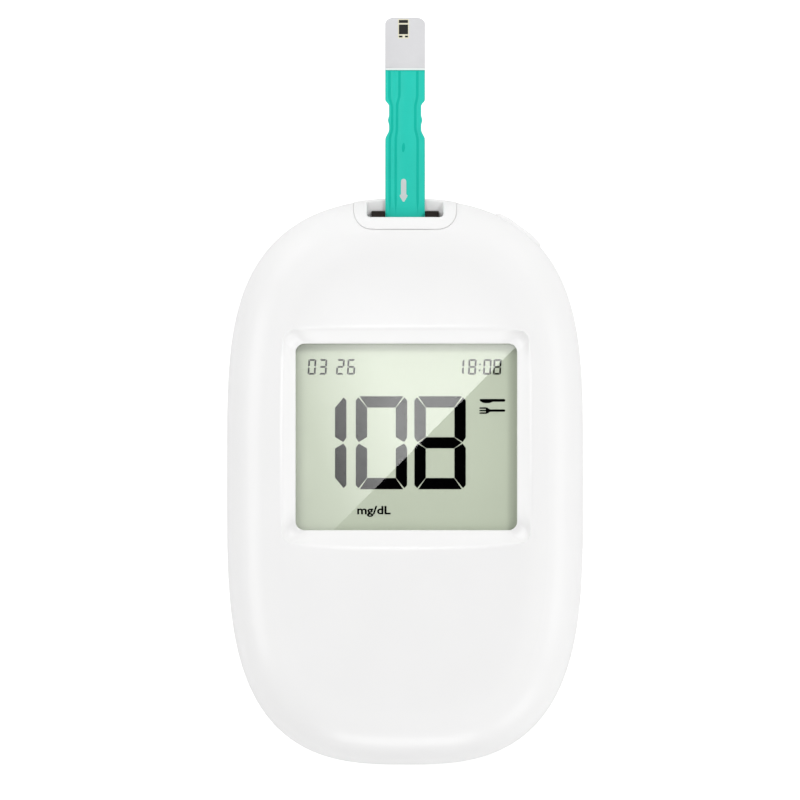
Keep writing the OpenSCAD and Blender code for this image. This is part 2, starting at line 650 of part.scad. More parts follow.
// ---------------------------------------------------------------- fasteners
module screw(x, y, head_z, head_h, head_r, thread_r, l) difference() {
    union() {
        rod(x, y, head_r, head_z - head_h, head_z);
        rod(x, y, thread_r, head_z - 0.1, head_z + l);
    }
    for (a = [0, 90]) translate([x, y, head_z - head_h]) rotate([0, 0, a])
        cube([head_r * 1.3, 0.45, head_h * 1.2], center = true);
}
case_head_h = 1.4;
board_head_h = 0.9;
board_head_r = 1.5;
module case_screws() color(steel) for (p = case_screws_at)
    screw(p.x, p.y, head_depth, case_head_h, head_d / 2, pilot_r, screw_l);
module board_screws() color(steel) for (p = board_screws_at)
    screw(p.x, p.y, board_z, board_head_h, board_head_r, board_screw_r - 0.12, board_screw_l);

// ---------------------------------------------------------------- test strip
strip_top = strip_y + strip_l;
waist_low = strip_top - 18;
waist_high = strip_top - 13.9;
tip_r = 1.1;
strip_face = strip_z + strip_base_t;
function edge(side, list) = [for (p = list) [side * p.x, p.y]];
right_edge = [[strip_w / 2, waist_low - 1.4], [strip_w / 2 - waist_in, waist_low],
    [strip_w / 2 - waist_in, waist_low + 0.6], [strip_w / 2 - waist_in + 0.2, waist_low + 1.5],
    [strip_w / 2 - waist_in, waist_low + 2.4], [strip_w / 2 - waist_in, waist_high],
    [strip_w / 2, waist_high + 0.8]];
module strip_outline(low, high, tip) {
    inside = [for (p = right_edge) if (p.y > low && p.y < high) p];
    end = tip ? concat(arc(strip_w / 2 - tip_r, high - tip_r, tip_r, 0),
        arc(tip_r - strip_w / 2, high - tip_r, tip_r, 90)) : [[strip_w / 2, high], [-strip_w / 2, high]];
    polygon(concat([[strip_w / 2, low]], inside, end, edge(-1, backward(inside)), [[-strip_w / 2, low]]));
}
module strip_base() color([0.92, 0.92, 0.93]) translate([0, 0, strip_z])
    linear_extrude(strip_base_t) strip_outline(strip_y, strip_top, true);
module strip_tip() color([0.92, 0.92, 0.93]) translate([0, 0, strip_face])
    linear_extrude(strip_cover_t) strip_outline(strip_top - tip_l, strip_top, true);
module strip_cover() color(strip_teal) translate([0, 0, strip_face])
    linear_extrude(strip_cover_t) strip_outline(strip_y + bare_l, strip_top - tip_l, false);
mark_t = 0.03;
module strip_electrodes() color([0.1, 0.1, 0.08]) {
    top = strip_face + strip_cover_t;
    box(-1, 0.5, strip_top - 0.9, strip_top - 0.3, top, top + mark_t);
    box(-1, 0.5, strip_top - 2.75, strip_top - 1.15, top, top + mark_t);
    for (x = [-1, 0.05]) box(x, x + 0.45, strip_top - 3.25, strip_top - 2.95, top, top + mark_t);
    for (k = [-1:1]) box(k * contact_pitch - 0.6, k * contact_pitch + 0.6,
        strip_y + 0.3, strip_y + bare_l - 0.1, strip_face, strip_face + mark_t);
}

front_cover();
rear_cover();
port_surround();
screen_lens();
lens_gasket();
front_polarizer();
display_front_glass();
display_rear_glass();
display_reflector();
display_frame();
elastomer_contact();
main_board();
microcontroller();
sensor_chip();
clock_crystal();
buzzer();
board_parts();
key_switch();
strip_connector();
strip_contacts();
coin_cell();
minus_contact();
plus_contact();
case_screws();
board_screws();
battery_door();
door_latch();
door_pad();
side_key();
key_plunger();
strip_base();
strip_tip();
strip_cover();
strip_electrodes();
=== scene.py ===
import bmesh
import bpy
import math
from mathutils import Matrix, Vector


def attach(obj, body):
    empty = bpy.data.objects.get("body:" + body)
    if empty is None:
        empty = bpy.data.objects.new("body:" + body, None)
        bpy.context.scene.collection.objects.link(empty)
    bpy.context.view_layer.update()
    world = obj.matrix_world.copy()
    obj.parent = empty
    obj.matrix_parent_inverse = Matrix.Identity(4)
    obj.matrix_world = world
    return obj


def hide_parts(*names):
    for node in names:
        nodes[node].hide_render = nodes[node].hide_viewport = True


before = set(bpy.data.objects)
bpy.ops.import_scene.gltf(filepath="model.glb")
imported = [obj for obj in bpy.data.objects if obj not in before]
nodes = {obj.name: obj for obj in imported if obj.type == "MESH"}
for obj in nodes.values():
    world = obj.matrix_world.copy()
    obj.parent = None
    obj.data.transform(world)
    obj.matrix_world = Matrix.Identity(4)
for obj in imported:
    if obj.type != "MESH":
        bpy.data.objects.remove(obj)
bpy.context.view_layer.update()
print("frame loaded:", len(nodes), "nodes")

# every length below is in millimetres, and meshMade turns it into metres
mm = 0.001


# ---- mesh helpers
def placed(name, data):
    piece = bpy.data.objects.new(name, data)
    bpy.context.scene.collection.objects.link(piece)
    return piece


def meshMade(name, points, faces, sharpOver=35):
    mesh = bpy.data.meshes.new(name)
    mesh.from_pydata([[c * mm for c in p] for p in points], [], faces)
    return finishMesh(placed(name, mesh), sharpOver)


def finishMesh(piece, sharpOver=35):
    # faces all turned outward, shaded smooth, with the real edges kept sharp
    work = bmesh.new()
    work.from_mesh(piece.data)
    bmesh.ops.remove_doubles(work, verts=work.verts, dist=1e-7)
    bmesh.ops.recalc_face_normals(work, faces=work.faces)
    for face in work.faces:
        face.smooth = True
    for edge in work.edges:
        edge.smooth = edge.calc_face_angle(0) < math.radians(sharpOver)
    work.to_mesh(piece.data)
    work.free()
    return piece


def ringMesh(name, rings, capStart=True, capEnd=True, closed=False, sharpOver=35):
    count = len(rings[0])
    points = [p for ring in rings for p in ring]
    faces = []
    pairs = [(k, k + 1) for k in range(len(rings) - 1)]
    if closed:
        pairs.append((len(rings) - 1, 0))
    for k, after in pairs:
        for i in range(count):
            j = (i + 1) % count
            faces.append((k * count + i, k * count + j, after * count + j, after * count + i))
    if not closed and capStart:
        faces.append(tuple(range(count - 1, -1, -1)))
    if not closed and capEnd:
        faces.append(tuple((len(rings) - 1) * count + i for i in range(count)))
    return meshMade(name, points, faces, sharpOver)


def applied(piece):
    # the modifiers' result becomes the mesh
    graph = bpy.context.evaluated_depsgraph_get()
    made = bpy.data.meshes.new_from_object(piece.evaluated_get(graph))
    piece.modifiers.clear()
    piece.data = made
    return piece


def carve(piece, *cutters, how="DIFFERENCE", solver="MANIFOLD", sharpOver=35):
    for cutter in cutters:
        cut = piece.modifiers.new("cut", "BOOLEAN")
        cut.operation = how
        cut.object = cutter
        cut.solver = solver
        applied(piece)
        bpy.data.objects.remove(cutter)
    return finishMesh(piece, sharpOver)


def turned(piece, matrix):
    piece.data.transform(matrix)
    return piece


# ---- outlines
def arcPoints(cx, cy, r, start, steps, sweep=90):
    return [(cx + r * math.cos(math.radians(start + sweep * k / steps)),
             cy + r * math.sin(math.radians(start + sweep * k / steps))) for k in range(steps + 1)]


def roundRect(w, l, r, steps=10, cx=0, cy=0):
    x, y = w / 2 - r, l / 2 - r
    return (arcPoints(cx + x, cy + y, r, 0, steps) + arcPoints(cx - x, cy + y, r, 90, steps)
            + arcPoints(cx - x, cy - y, r, 180, steps) + arcPoints(cx + x, cy - y, r, 270, steps))


def flat(outline, z):
    return [(p[0], p[1], z) for p in outline]


def prism(name, outline, z0, z1):
    return ringMesh(name, [flat(outline, z0), flat(outline, z1)])


def softPlate(name, w, l, r, z0, z1, edge=0.2, cx=0, cy=0, steps=10, cuts=3):
    # a plate with rounded corners whose upper and lower edges are rounded too
    turns = [math.radians(90 * k / cuts) for k in range(cuts + 1)]
    levels = [(edge * (1 - math.sin(a)), z0 + edge * (1 - math.cos(a))) for a in turns]
    levels += [(edge * (1 - math.cos(a)), z1 - edge * (1 - math.sin(a))) for a in turns]
    return ringMesh(name, [flat(roundRect(w - 2 * inset, l - 2 * inset, r - inset, steps, cx, cy), z)
                           for inset, z in levels])


def block(name, x0, x1, y0, y1, z0, z1):
    return prism(name, [(x0, y0), (x1, y0), (x1, y1), (x0, y1)], z0, z1)


def rod(name, x, y, r, z0, z1, steps=48):
    return prism(name, arcPoints(x, y, r, 0, steps, 360)[:-1], z0, z1)


def turnedProfile(name, x, y, profile, steps=96):
    # profile runs from the axis to the axis as (radius, height)
    rings = [flat(arcPoints(x, y, max(r, 0.001), 0, steps, 360)[:-1], z) for r, z in profile]
    return ringMesh(name, rings, sharpOver=40)


# ---- the case's form, the same in both covers
caseForm = {
    "halfWidth": 28.5,
    "halfLength": 45.25,
    "thickness": 18.6,
    "parting": 8.4,
    "wall": 1.8,
    "frontEdge": 10.0,
    "rearEdge": 6.5,
    "crown": 0.6,
    "crownInset": 19.0,
    "edgePower": 2.2,
    "groove": 0.22,
    "upper": (2.4, 3.92),
    "lower": (2.85, 3.51),
}
screenForm = {
    "width": 35.33,
    "length": 29.75,
    "middleX": 0.2,
    "middleY": 7.2,
    "radius": 1.4,
    "depth": 1.7,
    "slopeSide": 2.2,
    "slopeBottom": 2.45,
    "bow": 0.5,
    "sillWall": 1.2,
    "softEdge": 0.34,
    "cornerReach": 2.8,
    "cornerHollow": 3.4,
}
sillZ = caseForm["thickness"] - screenForm["depth"]
wellZ = sillZ - screenForm["sillWall"]


def powers(y):
    return caseForm["upper"] if y >= 0 else caseForm["lower"]


def unitOutline(angle):
    c, s = math.cos(angle), math.sin(angle)
    side, end = powers(s)
    low, high = 0.9, 1.5
    for _ in range(34):
        middle = (low + high) / 2
        if (middle * abs(c)) ** side + (middle * abs(s)) ** end > 1:
            high = middle
        else:
            low = middle
    return low * c, low * s


def insetAt(x, y):
    # how far inside the outline a point lies, on the family of curves that the shell follows
    side, end = powers(y)
    low, high = -1.0, 26.0
    for _ in range(26):
        middle = (low + high) / 2
        share = ((abs(x) / (caseForm["halfWidth"] - middle)) ** side
                 + (abs(y) / (caseForm["halfLength"] - middle)) ** end)
        if share > 1:
            high = middle
        else:
            low = middle
    return low


def rounding(share):
    power = caseForm["edgePower"]
    return (1 - (1 - min(max(share, 0), 1)) ** power) ** (1 / power)


def frontHeight(inset, skin=0.0):
    rise = caseForm["thickness"] - caseForm["crown"] - caseForm["parting"] - skin
    share = min(max(inset - skin, 0) / (caseForm["crownInset"] - skin), 1)
    return (caseForm["parting"] + rise * rounding((inset - skin) / (caseForm["frontEdge"] - skin))
            + caseForm["crown"] * (1 - (1 - share) ** 2))


def rearHeight(inset, skin=0.0):
    return caseForm["parting"] - (caseForm["parting"] - skin) * rounding(
        (inset - skin) / (caseForm["rearEdge"] - skin))


def edgeInsets(width, steps, skin=0.0):
    power = 2 / caseForm["edgePower"]
    return [skin + (width - skin) * (1 - math.cos(math.radians(90 * k / steps)) ** power)
            for k in range(1, steps + 1)]


def openingColumns(w, l, r, cx, cy, perSide, perCorner):
    # points round an opening, each with the outline's angle that its column of faces runs out to
    columns = []
    x, y = w / 2 - r, l / 2 - r
    corners = [(x, y, 0), (-x, y, 90), (-x, -y, 180), (x, -y, 270)]
    for n, (atX, atY, start) in enumerate(corners):
        for k in range(perCorner + 1):
            a = math.radians(start + 90 * k / perCorner)
            columns.append((atX + r * math.cos(a), atY + r * math.sin(a), a, 0))
        nextX, nextY, _ = corners[(n + 1) % 4]
        a = math.radians(start + 90)
        x0, y0 = atX + r * math.cos(a), atY + r * math.sin(a)
        x1, y1 = nextX + r * math.cos(a), nextY + r * math.sin(a)
        side = math.hypot(x1 - x0, y1 - y0)
        for k in range(1, perSide):
            u = (1 - math.cos(math.pi * k / perSide)) / 2 * 0.6 + k / perSide * 0.4
            columns.append((x0 + (x1 - x0) * u, y0 + (y1 - y0) * u, a, side * min(u, 1 - u)))
    made = []
    for px, py, a, away in columns:
        angle = math.atan2(py / (l / 2), px / (w / 2))
        made.append({"x": px + cx, "y": py + cy, "normal": a, "away": away, "unit": unitOutline(angle)})
    return made


def caseRing(columns, inset, z):
    halfW, halfL = caseForm["halfWidth"] - inset, caseForm["halfLength"] - inset
    return [(halfW * c["unit"][0], halfL * c["unit"][1], z) for c in columns]


def openingRing(columns, out, z):
    # a ring round the opening, a little outside its edge
    return [(c["x"] + math.cos(c["normal"]) * out, c["y"] + math.sin(c["normal"]) * out, z) for c in columns]


def partingRings(columns, side):
    # from the wall's inside over the parting line's groove; side is 1 for the front and -1 for the rear
    groove, parting = caseForm["groove"], caseForm["parting"]
    return [caseRing(columns, caseForm["wall"], parting), caseRing(columns, groove, parting),
            caseRing(columns, groove * 0.3, parting + side * (groove * 0.35)),
            caseRing(columns, 0, parting + side * (groove * 1.3))]


# ---- front cover
frontFaces = {
    "perSide": 46,
    "perCorner": 12,
    "edgeRings": 18,
    "spreadRings": 16,
    "meetInset": 5.6,
    # places across the border's soft outer edge, and then down its slope
    "edgeOffsets": (0.6, 0.42, 0.28, 0.17, 0.08, 0.0, -0.08, -0.17, -0.28, -0.42, -0.6),
    "slopeShares": (0.88, 0.75, 0.62, 0.5, 0.38, 0.26, 0.16, 0.08),
    # the sill's small round edge, as steps out and down
    "sillEdge": ((0.1, 0.0), (0.035, 0.02), (0.0, 0.09), (0.0, 0.5)),
    "flangeReach": 3.3,
    "flangeHeight": 0.6,
    "insideInsets": (6.4, 5.0, 3.8, 2.9, 2.3, 2.0),
}


def slopeFarPoint(column):
    # where the sloped border would come out, two rises above the sill
    s = screenForm
    px, py = column["x"] - s["middleX"], column["y"] - s["middleY"]
    r = s["radius"]
    nx, ny = math.cos(column["normal"]), math.sin(column["normal"])
    halfW, halfL = s["width"] / 2, s["length"] / 2
    cx, cy = px - r * nx, py - r * ny
    farR = r + 0.3
    wide = halfW + 2 * s["slopeSide"] - farR
    high = halfL + 2 * s["slopeSide"] - farR
    low = halfL + 2 * s["slopeBottom"] - 2 * s["bow"] - farR
    fx = cx / (halfW - r) * wide + farR * nx
    if cy >= 0:
        fy = cy / (halfL - r) * high + farR * ny
    else:
        fy = cy / (halfL - r) * low + farR * ny
    if ny < 0:
        fy -= 2 * s["bow"] * (1 - (cx / (halfW - r)) ** 2) * min(1, -ny)
    return fx + s["middleX"], fy + s["middleY"]


def cornerShare(column):
    return max(0, 1 - column["away"] / screenForm["cornerReach"]) ** 1.6


def slopeHeight(column, at, edge, rise):
    # a straight slope along the sides, which turns hollow in the corners
    share = at / edge
    corner = cornerShare(column)
    hollow = max(share, 0) ** screenForm["cornerHollow"]
    return sillZ + rise * edge * (share + (hollow - share) * corner)


def smoothLower(a, b, k):
    h = max(k - abs(a - b), 0) / k
    return min(a, b) - h * h * k / 4


def frontCoverMesh():
    s = screenForm
    f = frontFaces
    columns = openingColumns(s["width"], s["length"], s["radius"], s["middleX"], s["middleY"],
                             f["perSide"], f["perCorner"])
    rise = s["depth"] - 0.2
    rays = []
    for c in columns:
        fx, fy = slopeFarPoint(c)
        dx, dy = (fx - c["x"]) / 2, (fy - c["y"]) / 2
        run = math.hypot(dx, dy)
        e = 1.0
        for _ in range(30):
            e = (frontHeight(insetAt(c["x"] + dx * e, c["y"] + dy * e)) - sillZ) / rise
        rays.append((dx, dy, run, e))
    rings = partingRings(columns, 1)
    meet = f["meetInset"]
    for inset in edgeInsets(caseForm["frontEdge"], f["edgeRings"]):
        if 0.004 < inset < meet - 0.2:
            rings.append(caseRing(columns, inset, frontHeight(inset)))
    # from the last edge ring to just outside the sloped border
    outer = caseRing(columns, meet, frontHeight(meet))
    inner = []
    for c, (dx, dy, run, e) in zip(columns, rays):
        far = e + 0.9 / run
        inner.append((c["x"] + dx * far, c["y"] + dy * far))
    steps = f["spreadRings"]
    for k in range(steps + 1):
        u = (k / steps) ** 1.25
        ring = []
        for o, q in zip(outer, inner):
            x, y = o[0] + (q[0] - o[0]) * u, o[1] + (q[1] - o[1]) * u
            ring.append((x, y, frontHeight(insetAt(x, y))))
        rings.append(ring)
    # over the border's soft outer edge and down the slope
    for offset in f["edgeOffsets"]:
        ring = []
        for c, (dx, dy, run, e) in zip(columns, rays):
            at = e + offset / run
            x, y = c["x"] + dx * at, c["y"] + dy * at
            ease = s["softEdge"] * (1 - 0.6 * cornerShare(c))
            ring.append((x, y, smoothLower(frontHeight(insetAt(x, y)), slopeHeight(c, at, e, rise), ease)))
        rings.append(ring)
    for share in f["slopeShares"]:
        ring = []
        for c, (dx, dy, run, e) in zip(columns, rays):
            at = share * (e - 0.6 / run)
            ring.append((c["x"] + dx * at, c["y"] + dy * at, slopeHeight(c, at, e, rise)))
        rings.append(ring)
    # the sill's edge and its wall down to the lens flange, then the underside back out to the rim
    for out, down in f["sillEdge"] + ((0.0, s["sillWall"]),):
        rings.append(openingRing(columns, out, sillZ - down))
    rings += [openingRing(columns, f["flangeReach"], wellZ + z) for z in (0, f["flangeHeight"])]
    rings += [caseRing(columns, inset, frontHeight(inset, caseForm["wall"])) for inset in f["insideInsets"]]
    return ringMesh("front_shell", rings, closed=True, sharpOver=32)


portForm = {
    "width": 16.4,
    "length": 4.95,
    "radius": 2.9,
    "gap": 0.02,
    "chamfer": 0.07,
    "proud": 0.12,
    "notchWidth": 12.2,
    "lip": 1.97,
    "slotWidth": 10.7,
    "slotReach": 0.85,
    "slotTop": 12.95,
    "shelf": 10.65,
    "notchRadius": 0.5,
    "moulding": 0.13,
    "cutTop": 24,
}
portY = caseForm["halfLength"] - portForm["length"]


def portOutline(gap):
    half, r, low = portForm["width"] / 2, portForm["radius"], portY - gap
    side = [r + gap + (12 - r) * k / 16 for k in range(16, 0, -1)]
    left, right = [(-half - gap, low + y) for y in side], [(half + gap, low + y) for y in side[::-1]]
    return (left + arcPoints(r - half, low + r + gap, r + gap, 180, 14)
            + arcPoints(half - r, low + r + gap, r + gap, 270, 14) + right)


def portCut():
    # the opening for the surround, with a small chamfer where it meets the case's face
    gap, chamfer = portForm["gap"], portForm["chamfer"]
    inner, outer = portOutline(gap), portOutline(gap + chamfer)
    heights = [frontHeight(insetAt(x, y)) for x, y in outer]
    return ringMesh("port cut", [
        flat(inner, caseForm["parting"] - 2), [(x, y, h - chamfer) for (x, y), h in zip(inner, heights)],
        [(x, y, h + 0.02) for (x, y), h in zip(outer, heights)], flat(outer, portForm["cutTop"])])


# the side key's own frame: +X leaves the case square to the outline there
keyForm = {
    "place": 54.4,
    "length": 8.9,
    "height": 4.4,
    "proud": 0.45,
    "gap": 0.12,
    "seat": 2.05,
    "flange": 0.7,
    "flangeThickness": 0.9,
    "flangeRadius": 1.2,
    "holeRadius": 1.9,
    "radius": 1.8,
    "stem": 1.6,
    "rim": 0.55,
    "dome": 0.18,
}


def outlinePoint(degrees):
    x, y = unitOutline(math.radians(degrees))
    return Vector((caseForm["halfWidth"] * x, caseForm["halfLength"] * y, 0))


keyCentre = outlinePoint(keyForm["place"])
keyAlong = outlinePoint(keyForm["place"] + 4) - outlinePoint(keyForm["place"] - 4)
keyTurn = math.atan2(keyAlong.y, keyAlong.x) - math.pi / 2
halfChord = (outlinePoint(keyForm["place"] + 4) + outlinePoint(keyForm["place"] - 4)) / 2
sagitta = (keyCentre - halfChord).length
keyRound = ((keyAlong.length / 2) ** 2 + sagitta ** 2) / (2 * sagitta)
keyFrame = Matrix.Translation(keyCentre * mm) @ Matrix.Rotation(keyTurn, 4, "Z")


def keyRing(w, h, r, x, steps=10):
    # a rounded outline across the key's travel: w runs along the case, h is its height
    return [(x, a, caseForm["parting"] + b) for a, b in roundRect(w, h, r, steps)]


def keyOpening():
    gap = keyForm["gap"]
    wide, high = keyForm["length"] + 2 * gap, keyForm["height"] + 2 * gap
    hole = ringMesh("key hole", [keyRing(wide, high, keyForm["holeRadius"], x) for x in (-3.5, 5)])
    return turned(hole, keyFrame)


print("making the front cover")
frontCover = frontCoverMesh()
carve(frontCover, portCut(), keyOpening(), sharpOver=32)

print("making the strip port surround")


def portSurroundMesh():
    # the case's own front, a little proud, cut to the surround's outline
    columns = [{"unit": unitOutline(math.radians(360 * k / 288))} for k in range(288)]
    p = portForm
    grow = p["proud"]
    rings = [caseRing(columns, -grow, caseForm["parting"])]
    for inset in edgeInsets(caseForm["frontEdge"], 26):
        rings.append(caseRing(columns, inset - grow, frontHeight(inset) + grow))
    rings.append(caseRing(columns, 16, frontHeight(16) + grow))
    piece = ringMesh("port_surround_shell", rings)
    carve(piece, prism("surround blank", portOutline(0), caseForm["parting"], p["cutTop"]), how="INTERSECT")
    notchY, half, r = portY + p["lip"], p["notchWidth"] / 2, p["notchRadius"]
    notch = prism("notch", arcPoints(half - r, notchY + r, r, 270, 5) + [(half, 50), (-half, 50)]
                  + arcPoints(r - half, notchY + r, r, 180, 5), p["shelf"], p["cutTop"])
    slot = block("slot", -p["slotWidth"] / 2, p["slotWidth"] / 2, portY - 1, notchY + p["slotReach"] + 0.1,
                 caseForm["parting"] - 1, p["slotTop"])
    carve(piece, notch, slot)
    # a fine remesh rounds every edge a little, as a moulded piece's are
    remesh = piece.modifiers.new("moulded", "REMESH")
    remesh.mode = "VOXEL"
    remesh.voxel_size = p["moulding"] * mm
    remesh.adaptivity = 0
    applied(piece)
    ease = piece.modifiers.new("ease", "SMOOTH")
    ease.factor = 0.5
    ease.iterations = 4
    thin = piece.modifiers.new("thin", "DECIMATE")
    thin.ratio = 0.35
    applied(piece)
    return finishMesh(piece, 60)


portSurround = portSurroundMesh()

print("making the side key")


def sideKeyMesh():
    k = keyForm
    wide, high, back = k["length"] + 2 * k["flange"], k["height"] + 2 * k["flange"], -k["seat"]
    rings = [keyRing(wide, high, k["flangeRadius"], x) for x in (back - k["flangeThickness"], back)]
    rings += [keyRing(k["length"], k["height"], k["radius"], back + share * k["stem"])
              for share in (0.0, 0.35, 0.5)]
    # over the rounded rim and across the domed face
    rim = k["rim"]
    turns = [math.radians(90 * step / 8) for step in range(1, 9)]
    levels = [(rim * (1 - math.cos(a)), rim * math.sin(a)) for a in turns]
    levels += [(inset, rim) for inset in (0.8, 1.1, 1.5, 1.9)]
    for inset, lift in levels:
        ring = []
        corner = max(k["radius"] - inset, 0.25)
        for a, b in roundRect(k["length"] - 2 * inset, k["height"] - 2 * inset, corner, 10):
            bend = keyRound - math.sqrt(keyRound ** 2 - a * a)
            dome = k["dome"] * (b / (k["height"] / 2)) ** 2
            ring.append((k["proud"] - rim + lift - bend - dome, a, caseForm["parting"] + b))
        rings.append(ring)
    return turned(ringMesh("side_key_cap", rings, sharpOver=38), keyFrame)


sideKey = sideKeyMesh()

print("making the rear cover")
doorForm = {
    "width": 26.6,
    "length": 30.6,
    "middleY": -19.4,
    "radius": 3.0,
    "sink": 0.15,
    "thickness": 1.5,
    "gap": 0.2,
    "bayWall": 1.2,
    "latchWidth": 9.0,
    "latchLength": 7.3,
    "hookX": 7.0,
    "hookWidth": 4.0,
    "hookReach": 1.4,
    "cellRadius": 10.0,
    "cellThickness": 3.2,
    "padThickness": 0.25,
    "hookRoot": 1.4,
    "tongueGap": 0.8,
    "tongueCorner": 0.7,
    "catchRise": 0.75,
    "gripStart": 1.9,
    "gripStep": 1.3,
    "gripHalf": 3.5,
}
d = doorForm
doorLow, doorHigh = d["middleY"] - d["length"] / 2, d["middleY"] + d["length"] / 2
pocketZ = d["sink"] + d["thickness"]
cellZ = pocketZ + d["padThickness"]
cellY = doorLow + 6.3 + d["cellRadius"]
bayRoof = cellZ + d["cellThickness"] + 0.3
bayTop = bayRoof + d["bayWall"] - 0.2
rearForm = {
    "perSide": 34,
    "perCorner": 8,
    "edgeRings": 18,
    "insideInsets": (2.0, 2.4, 3.2, 4.4, 6.4),
    "screws": [(15.2, 29.8), (-15.2, 29.8), (17.4, -30), (-17.4, -30)],
    "headDepth": 5.0,
    "headRadius": 2.2,
    "screwRadius": 1.15,
    "postRadius": 3.1,
    "cellGap": 0.3,
    "contactHalf": 2.15,
    "hookPocketHalf": 2.3,
    "latchPocketHalf": 4.8,
    "soundHoles": [(14, 15), (16, 15), (12, 15), (14, 17), (14, 13)],
    "soundRadius": 0.5,
    # width, length, corner radius, depth and middle of the bare label's place
    "label": (17, 21, 2, 0.3, 17.5),
    "thumbRadius": 5,
    "thumbDown": 4.2,
}


def thumbBall():
    mesh = bpy.data.meshes.new("thumb")
    work = bmesh.new()
    bmesh.ops.create_uvsphere(work, u_segments=64, v_segments=48, radius=rearForm["thumbRadius"] * mm)
    place = Vector((0, doorHigh + 0.6, -rearForm["thumbDown"])) * mm
    bmesh.ops.translate(work, verts=work.verts, vec=place)
    work.to_mesh(mesh)
    work.free()
    return placed("thumb", mesh)


def rearCoverMesh():
    f, gap, bayWall, parting = rearForm, d["gap"], d["bayWall"], caseForm["parting"]
    columns = openingColumns(d["width"] + 2 * gap, d["length"] + 2 * gap, d["radius"] + gap, 0, d["middleY"],
                             f["perSide"], f["perCorner"])
    # inside, from the bay's wall out to the rim
    inside = [caseRing(columns, inset, rearHeight(inset, caseForm["wall"])) for inset in f["insideInsets"]]
    inside += [openingRing(columns, bayWall, caseForm["wall"]), openingRing(columns, bayWall, bayTop)]
    rings = inside[::-1] + partingRings(columns, -1)
    for inset in edgeInsets(caseForm["rearEdge"], f["edgeRings"]):
        if inset > 0.004:
            rings.append(caseRing(columns, inset, rearHeight(inset)))
    # across the flat back to the door's opening, and in to the bay
    edge, near = caseRing(columns, caseForm["rearEdge"] + 0.6, 0), openingRing(columns, 0.25, 0)
    rings.append(edge)
    for u in (0.25, 0.5, 0.75, 0.92):
        rings.append([(a[0] + (b[0] - a[0]) * u, a[1] + (b[1] - a[1]) * u, 0) for a, b in zip(edge, near)])
    rings.append(near)
    ledge = -gap - bayWall
    for out, z in ((0.08, 0.04), (0, 0.2), (0, pocketZ), (ledge, pocketZ), (ledge, bayRoof)):
        rings.append(openingRing(columns, out, z))
    piece = ringMesh("rear_shell", rings, sharpOver=32)
    # the ring that holds the cell, and the posts for the screws
    room, half = d["cellRadius"] + f["cellGap"], f["contactHalf"]
    holder = rod("holder", 0, cellY, room + bayWall, pocketZ, bayRoof + 0.1, 96)
    carve(holder, rod("cell room", 0, cellY, room, pocketZ - 1, bayRoof + 1, 96),
          block("contact room", 9, 12, cellY - half, cellY + half, pocketZ - 1, bayRoof + 1))
    posts = [rod("post", x, y, f["postRadius"], 0.9, parting) for x, y in f["screws"]]
    carve(piece, holder, *posts, how="UNION")
    cutters = [rod("recess", x, y, f["headRadius"], -1, f["headDepth"]) for x, y in f["screws"]]
    cutters += [rod("through", x, y, f["screwRadius"], f["headDepth"] - 1, parting + 1)
                for x, y in f["screws"]]
    half, low = f["hookPocketHalf"], doorLow - d["hookReach"] - 0.6
    for x in (-d["hookX"], d["hookX"]):
        cutters.append(block("hook pocket", x - half, x + half, low, doorLow + 3.2, 1.5, bayRoof))
    half = f["latchPocketHalf"]
    cutters.append(block("latch pocket", -half, half, doorHigh - 1.2, doorHigh + 1.3, 1.6, 3.1))
    cutters += [rod("sound hole", x, y, f["soundRadius"], -1, 3, 24) for x, y in f["soundHoles"]]
    wide, long, corner, deep, middle = f["label"]
    cutters.append(softPlate("label recess", wide, long, corner, -1, deep, 0.15, 0, middle))
    carve(piece, *cutters, keyOpening())
    return carve(piece, thumbBall(), sharpOver=32)


rearCover = rearCoverMesh()

print("making the battery door")


def batteryDoorMesh():
    piece = softPlate("door_panel", d["width"], d["length"], d["radius"], d["sink"], pocketZ, 0.3, 0,
                      d["middleY"])
    reach, root = d["hookReach"], d["hookRoot"]
    for x in (-d["hookX"], d["hookX"]):
        hook = softPlate("hook", d["hookWidth"], reach + root, 0.25, pocketZ - 0.3, pocketZ + 1, 0.15, x,
                         doorLow - reach / 2 + root / 2, 4, 2)
        carve(piece, hook, how="UNION")
    half, r = d["latchWidth"] / 2 + d["tongueGap"], d["tongueCorner"]
    slotEnd = doorHigh - d["latchLength"]
    slot = prism("tongue slot", [(half, 2), (-half, 2)] + arcPoints(r - half, slotEnd + r, r, 180, 6)
                 + arcPoints(half - r, slotEnd + r, r, 270, 6), -1, 4)
    return carve(piece, slot)


def doorLatchMesh():
    w, l, sink = d["latchWidth"], d["latchLength"], d["sink"]
    top = pocketZ + d["catchRise"]
    piece = softPlate("latch_tongue", w, l, 0.4, sink, pocketZ - 0.4, 0.15, 0, doorHigh - l / 2, 5, 2)
    stop = softPlate("stop", w - 0.1, 1, 0.2, sink + 0.2, top, 0.1, 0, doorHigh - 0.5, 4, 2)
    hookSide = [(-0.3, 1.75), (0.62, 1.75), (0.8, 1.9), (0.5, top), (-0.3, top)]
    hook = ringMesh("catch", [[(x, doorHigh + y, z) for y, z in hookSide]
                              for x in (-w / 2 + 0.1, w / 2 - 0.1)])
    carve(piece, stop, hook, how="UNION")
    gripSide = [(-0.36, -1), (-0.3, sink + 0.05), (-0.12, sink + 0.25), (0.12, sink + 0.25),
                (0.3, sink + 0.05), (0.36, -1)]
    grips = []
    for k in range(3):
        middle = doorHigh - d["gripStart"] - d["gripStep"] * k
        grips.append(ringMesh("grip", [[(x, middle + y, z) for y, z in gripSide]
                                       for x in (-d["gripHalf"], d["gripHalf"])]))
    return carve(piece, *grips)


batteryDoor = batteryDoorMesh()
doorLatch = doorLatchMesh()
